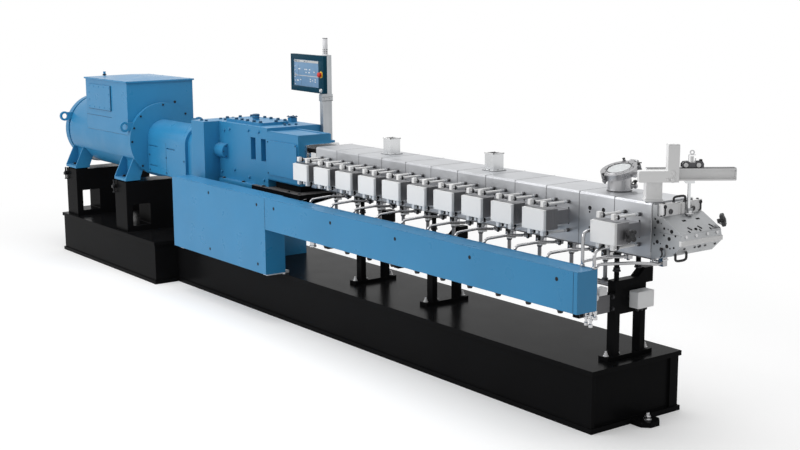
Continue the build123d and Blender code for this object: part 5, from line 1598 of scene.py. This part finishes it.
@dataclass
class LiftingDetails(Assembly):
    """Rollers, eye and bolts of the lifting gear over the die head."""

    foot: Point = (3692.0, -116.0, 0.0)
    turn: float = 53.3
    beam_top: float = 1522.0
    cheek: Profile = ((148, 0), (148, 20), (158, 32), (186, 34), (194, 26), (218, 26), (226, 34), (262, 34),
                      (270, 20), (270, 0))
    mast_bolts: Boxes = ((88, 1504, 11), (86, 1468, 12), (58, 1468, 8))
    end_caps: Boxes = (
        (446, -23, 1458, 449, 23, 1518, 1), (-98, -85, 1457, -95, -27, 1513, 1),
        (60, -85, 1659, 118, -27, 1662, 1),
    )

    def build(self) -> None:
        """Build every piece in turn."""
        gear = shift(*self.foot) @ spin(self.turn)
        self._trolley(gear)
        with self.piece("mast_bolts", GREY_PAINT) as bolts:
            for along, z, radius in self.mast_bolts:
                bolts.bolt(gear @ at((along, -87, z), NEAR, 12), radius, 6, radius * 1.35)
        with self.piece("beam_end_caps", GREY_PAINT) as caps:
            caps.boxes(self.end_caps, gear)
        with self.piece("beam_top_strip", DARK_STEEL) as strip:
            strip.block((-43, -24, self.beam_top), (446, 24, self.beam_top + 1.6), 0.4, gear)
        with self.piece("lifting_post_bolts", FASTENER_STEEL) as feet:
            for place in grid((-44.88, 44.88), (-16, 56), 1350):
                feet.cap_screw(gear @ at(place), 4.5, 5)

    def _trolley(self, gear: Matrix) -> None:
        """Fit the trolley with its rollers, hubs, eye and stop.

        Args:
            gear: place and turn of the lifting gear.
        """
        top = self.beam_top
        axles = [gear @ at((along, -12.5, top + 17), NEAR) for along in (171, 241)]
        with self.piece("trolley_rollers", STEM_WHITE) as rollers:
            for axle in axles:
                rollers.lathe(axle, [(13, 0), (13, 4), (11, 6), (4, 6.5)])
        with self.piece("trolley_hubs", DARK_STEEL) as hubs:
            for axle in axles:
                hubs.lathe(axle, [(19.5, -1), (19.5, 1.5), (17.5, 2.5)])
            for side_y in (-13.5, 21):
                hubs.prism(self.cheek, 1.5, gear @ plane((0, side_y, top + 4), FORWARD, NEAR), 0.4)
        with self.piece("trolley_eye", FASTENER_STEEL) as eye:
            eye.lathe(gear @ at((206, 0, top + 86), NEAR), [(7, -3), (14, -3), (14, 3), (7, 3)], ring=True)
            eye.rod(gear @ at((188, 0, top + 34)), 40, 2.5)
            eye.block((186, -2, top + 70), (226, 2, top + 74), 1, gear)
            eye.rod(gear @ at((224, -4, top + 34)), 22, 3)
        with self.piece("trolley_stop", BLACK_PLASTIC) as knob:
            knob.block((246, -9, top + 34), (262, 9, top + 48), 2, gear)


@dataclass
class OperatorPanelDetails(Assembly):
    """Frame, screen, buttons and lamp of the swivelling operator panel and trim of its post."""

    post: Point = (-246.0, 335.0, 0.0)
    turn: float = -5.7
    plate: Boxes = (
        (-419, -97.5, 1945, 146, -95, 1982, 0.8), (-419, -97.5, 1692, 146, -95, 1729, 0.8),
        (-419, -97.5, 1729, -379, -95, 1945, 0.8), (62, -97.5, 1729, 146, -95, 1945, 0.8),
    )
    rim: Boxes = (
        (-427, -99, 1688, -419, -65, 1986, 1.5), (-426, -99, 1982, 150, -65, 1987, 1.5),
        (-426, -99, 1687, 150, -65, 1692, 1.5), (146, -99, 1688, 151, -65, 1986, 1.5),
    )
    screen_y: float = -92.8
    bars: Boxes = ((-374, 1922, 58, 1941), (-300, 1812, 52, 1818), (-366, 1808, -320, 1822))
    menu_row: tuple[int, int, int] = (1738, 29, 6)
    fields: Boxes = (
        (-300, 1862, 34), (-190, 1862, 20), (-160, 1862, 18), (-110, 1862, 22), (-170, 1838, 16),
        (-120, 1838, 24), (-30, 1846, 18), (-330, 1768, 36), (-270, 1776, 16), (-96, 1786, 16),
        (-96, 1768, 16), (-12, 1786, 18), (-12, 1768, 18), (-54, 1777, 10),
    )
    marks: Boxes = (
        (-360, 1928, -320, 1933), (-300, 1928, -278, 1933), (-200, 1928, -170, 1933),
        (-150, 1928, -134, 1933), (-352, 1812, -330, 1818),
    )
    rules: Boxes = ((-250, 1734, -248.4, 1806), (-60, 1734, -58.4, 1806), (-300, 1826, -297, 1900))
    stop: Profile = ((12, 0), (18.3, 6), (20, 12), (20, 20), (16, 26), (6, 28.5))
    back: Boxes = ((-406, -45, 1710, -40, -38, 1964, 2.5),)
    vent_count: int = 7
    vent_pitch: int = 14
    vent_z: int = 1748
    button_y: float = -97.0
    lamp: Profile = (
        (25, 0), (25, 6), (20, 9), (20, 60), (21, 61), (21, 64), (20, 65), (20, 132), (18, 137), (8, 139),
    )
    groove: Boxes = (
        (-28.4, -49.8, 1619, 28.4, 49.8, 1623, 1), (-28.2, -49.7, 1650, 28.2, 49.7, 1653, 0.6),
    )
    strips: Boxes = (
        (-22.4, -27.3, 1300.5, -13.4, -17.7, 1617.5, 0.5), (-22.4, 17.7, 1300.5, -13.4, 27.3, 1617.5, 0.5),
        (-4.8, -44.9, 1300.5, 4.8, -35.9, 1617.5, 0.5), (13.4, -27.3, 1300.5, 22.4, -17.7, 1617.5, 0.5),
        (13.4, 17.7, 1300.5, 22.4, 27.3, 1617.5, 0.5), (-4.8, 35.9, 1300.5, 4.8, 44.9, 1617.5, 0.5),
    )

    def build(self) -> None:
        """Build every piece in turn."""
        place = shift(*self.post) @ spin(self.turn)
        for name, rows in (("panel_front_plate", self.plate), ("panel_rim", self.rim)):
            with self.piece(name, PETROL_FOIL, "panel") as front:
                front.boxes(rows, place)
        self._screen(place)
        self._buttons(place)
        with self.piece("panel_back_cover", ALUMINIUM, "panel") as back:
            back.boxes(self.back, place)
            for z in spaced(self.vent_z, self.vent_pitch, self.vent_count):
                back.block((-330, -38, z), (-190, -36, z + 6), 0.8, place)
            for screw in grid((-392, -54), -38, (1724, 1950)):
                back.cap_screw(place @ at(screw, FAR), 5, 4)
        self._lamp(place)
        self._collar(place)

    def _screen(self, place: Matrix) -> None:
        """Show plain shapes on the lit screen.

        Args:
            place: place and turn of the panel.
        """
        y = self.screen_y
        with self.piece("screen_glass", SCREEN_BLUE, "panel") as glass:
            glass.block((-379, y, 1729), (62, y + 0.8, 1945), 0.3, place)
        with self.piece("screen_bars", SCREEN_PALE, "panel") as bars:
            for left, low, right, high in self.bars:
                bars.block((left, y - 0.4, low), (right, y, high), 0.1, place)
        with self.piece("screen_fields", SCREEN_WHITE, "panel") as fields:
            for z in spaced(*self.menu_row):
                fields.block((-368, y - 0.6, z), (-356, y, z + 7), 0.1, place)
            for x, z, width in self.fields:
                fields.block((x, y - 0.6, z), (x + width, y, z + 9), 0.1, place)
        with self.piece("screen_rules", SCREEN_DARK, "panel") as rules:
            for rows, depth in ((self.marks, 0.7), (self.rules, 0.5)):
                for left, low, right, high in rows:
                    rules.block((left, y - depth, low), (right, y - depth + 0.4, high), 0.1, place)

    def _buttons(self, place: Matrix) -> None:
        """Fit the stop button's collar and head and the white key.

        Args:
            place: place and turn of the panel.
        """
        low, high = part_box("emergency_stop")
        x, _, z = place.inverted() @ ((low + high) / 2 / MILLIMETRE)
        with self.piece("stop_collar", YELLOW_PLASTIC, "panel") as collar:
            foot = place @ at((x, self.button_y, z), NEAR)
            collar.lathe(foot, [(27, 0), (27, 2.5), (24, 4), (14, 4)], 32)
        with self.piece("stop_head", RED_PLASTIC, "panel") as head:
            head.lathe(place @ at((x, -101, z), NEAR), self.stop, 32)
        with self.piece("panel_key", STEM_WHITE, "panel") as key:
            foot = place @ at((x + 2, self.button_y, 1711), NEAR)
            key.lathe(foot, [(16, 0), (16, 3), (13, 6), (13, 12), (9, 16)], 28)

    def _lamp(self, place: Matrix) -> None:
        """Build the slim signal lamp on the carrier: a clear column over a foot with painted shade in its
        slots.

        Args:
            place: place and turn of the panel.
        """
        column = self.piece("signal_lamp", SIGNAL_LENS, "panel")
        column.lathe(place @ at((0, 0, 1986)), self.lamp, 36)
        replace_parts(column.finish(), "signal_light")
        with self.piece("signal_lamp_slot_shade", DARK_STEEL, "panel") as slot_shades:
            # Dark blocks on the foot are painted shade in its slots; the ring at the top is dark steel.
            for index, z in itertools.product(range(8), (1999, 2013, 2027)):
                slot_shades.block((19.4, -3.2, z), (20.6, 3.2, z + 8), 0.3, place @ spin(45 * index))
            slot_shades.lathe(place @ at((0, 0, 2118)), [(20.1, 0), (21, 1), (21, 4), (20.1, 5)], 36, ring=True)

    def _collar(self, place: Matrix) -> None:
        """Finish the swivel collar with its groove and clamp screws, and the post with strips and bolts.

        Args:
            place: place and turn of the panel.
        """
        with self.piece("swivel_groove", DARK_STEEL, "panel") as groove:
            groove.boxes(self.groove, place)
        with self.piece("swivel_clamp_screw", FASTENER_STEEL, "panel") as screws:
            for y in (-20, 20):
                screws.cap_screw(place @ at((27.5, y, 1640), FORWARD), 6, 6)
        with self.piece("post_cover_strips", ALUMINIUM) as strips:
            strips.boxes(self.strips, shift(*self.post))
        with self.piece("post_foot_bolts", FASTENER_STEEL) as foot:
            foot.cap_screws(grid((-262, -230), 382, 1268), FAR, 6, 5)


DRESSED_SOLIDS: Sequence[tuple[Finish, str]] = (
    (BLACK_PAINT, "base_frame motor_base gearbox_console motor_pedestal_rear motor_pedestal_front neck_cover"
                  " barrel_support_rear barrel_support_middle barrel_support_front"),
    (BLUE_PAINT, "motor_cooler_box motor_cooler_lid coupling_guard gearbox_stand side_cabinet cable_duct"),
    (CAST_BLUE_PAINT, "motor_frame gearbox_input_housing gearbox_main_housing gearbox_top_cover"
                      " gearbox_output_housing gearbox_side_cover"),
    (WHITE_PAINT, "terminal_box_covers die_clamps cabinet_brackets junction_box"),
    (GREY_PAINT, "lifting_frame lifting_trolley cooling_valves"),
    (BOX_METAL, "terminal_boxes cooling_return"),
    (BARREL_STEEL, " ".join(f"barrel_section_{index}" for index in range(1, 13))),
    (BRIGHT_STEEL, "barrel_neck barrel_stems feed_sockets suspension_rod"),
    (TUBE_STEEL, "cooling_tubes cooling_supply cooling_couplings"),
    (VENT_STEEL, "vent_dome vent_lid"),
    (DIE_STEEL, "die_head"),
    (ALUMINIUM, "panel_post operator_panel"),
    (RED_PLASTIC, "emergency_stop"),
    (SIGHT_GLASS, "sight_glass"),
)


def main() -> None:
    """Build the studio and the machine."""
    logging.basicConfig(level=logging.INFO)
    bpy.context.scene.view_settings.view_transform = "Standard"
    Studio().build()
    palette = Palette()
    for finish, nodes in DRESSED_SOLIDS:
        palette.dress(finish, *nodes.split())
    for kind in (BaseDetails, MotorDetails, GuardDetails, GearboxDetails, SidePanelDetails,
                 BarrelDetails, TerminalBoxDetails, CoolingDetails, SupportDetails, FeedSocketDetails,
                 VentDetails, DieDetails, LiftingDetails, OperatorPanelDetails):
        LOG.info("%s", kind.__name__)
        kind(palette).build()


if __name__ == "__main__":
    main()
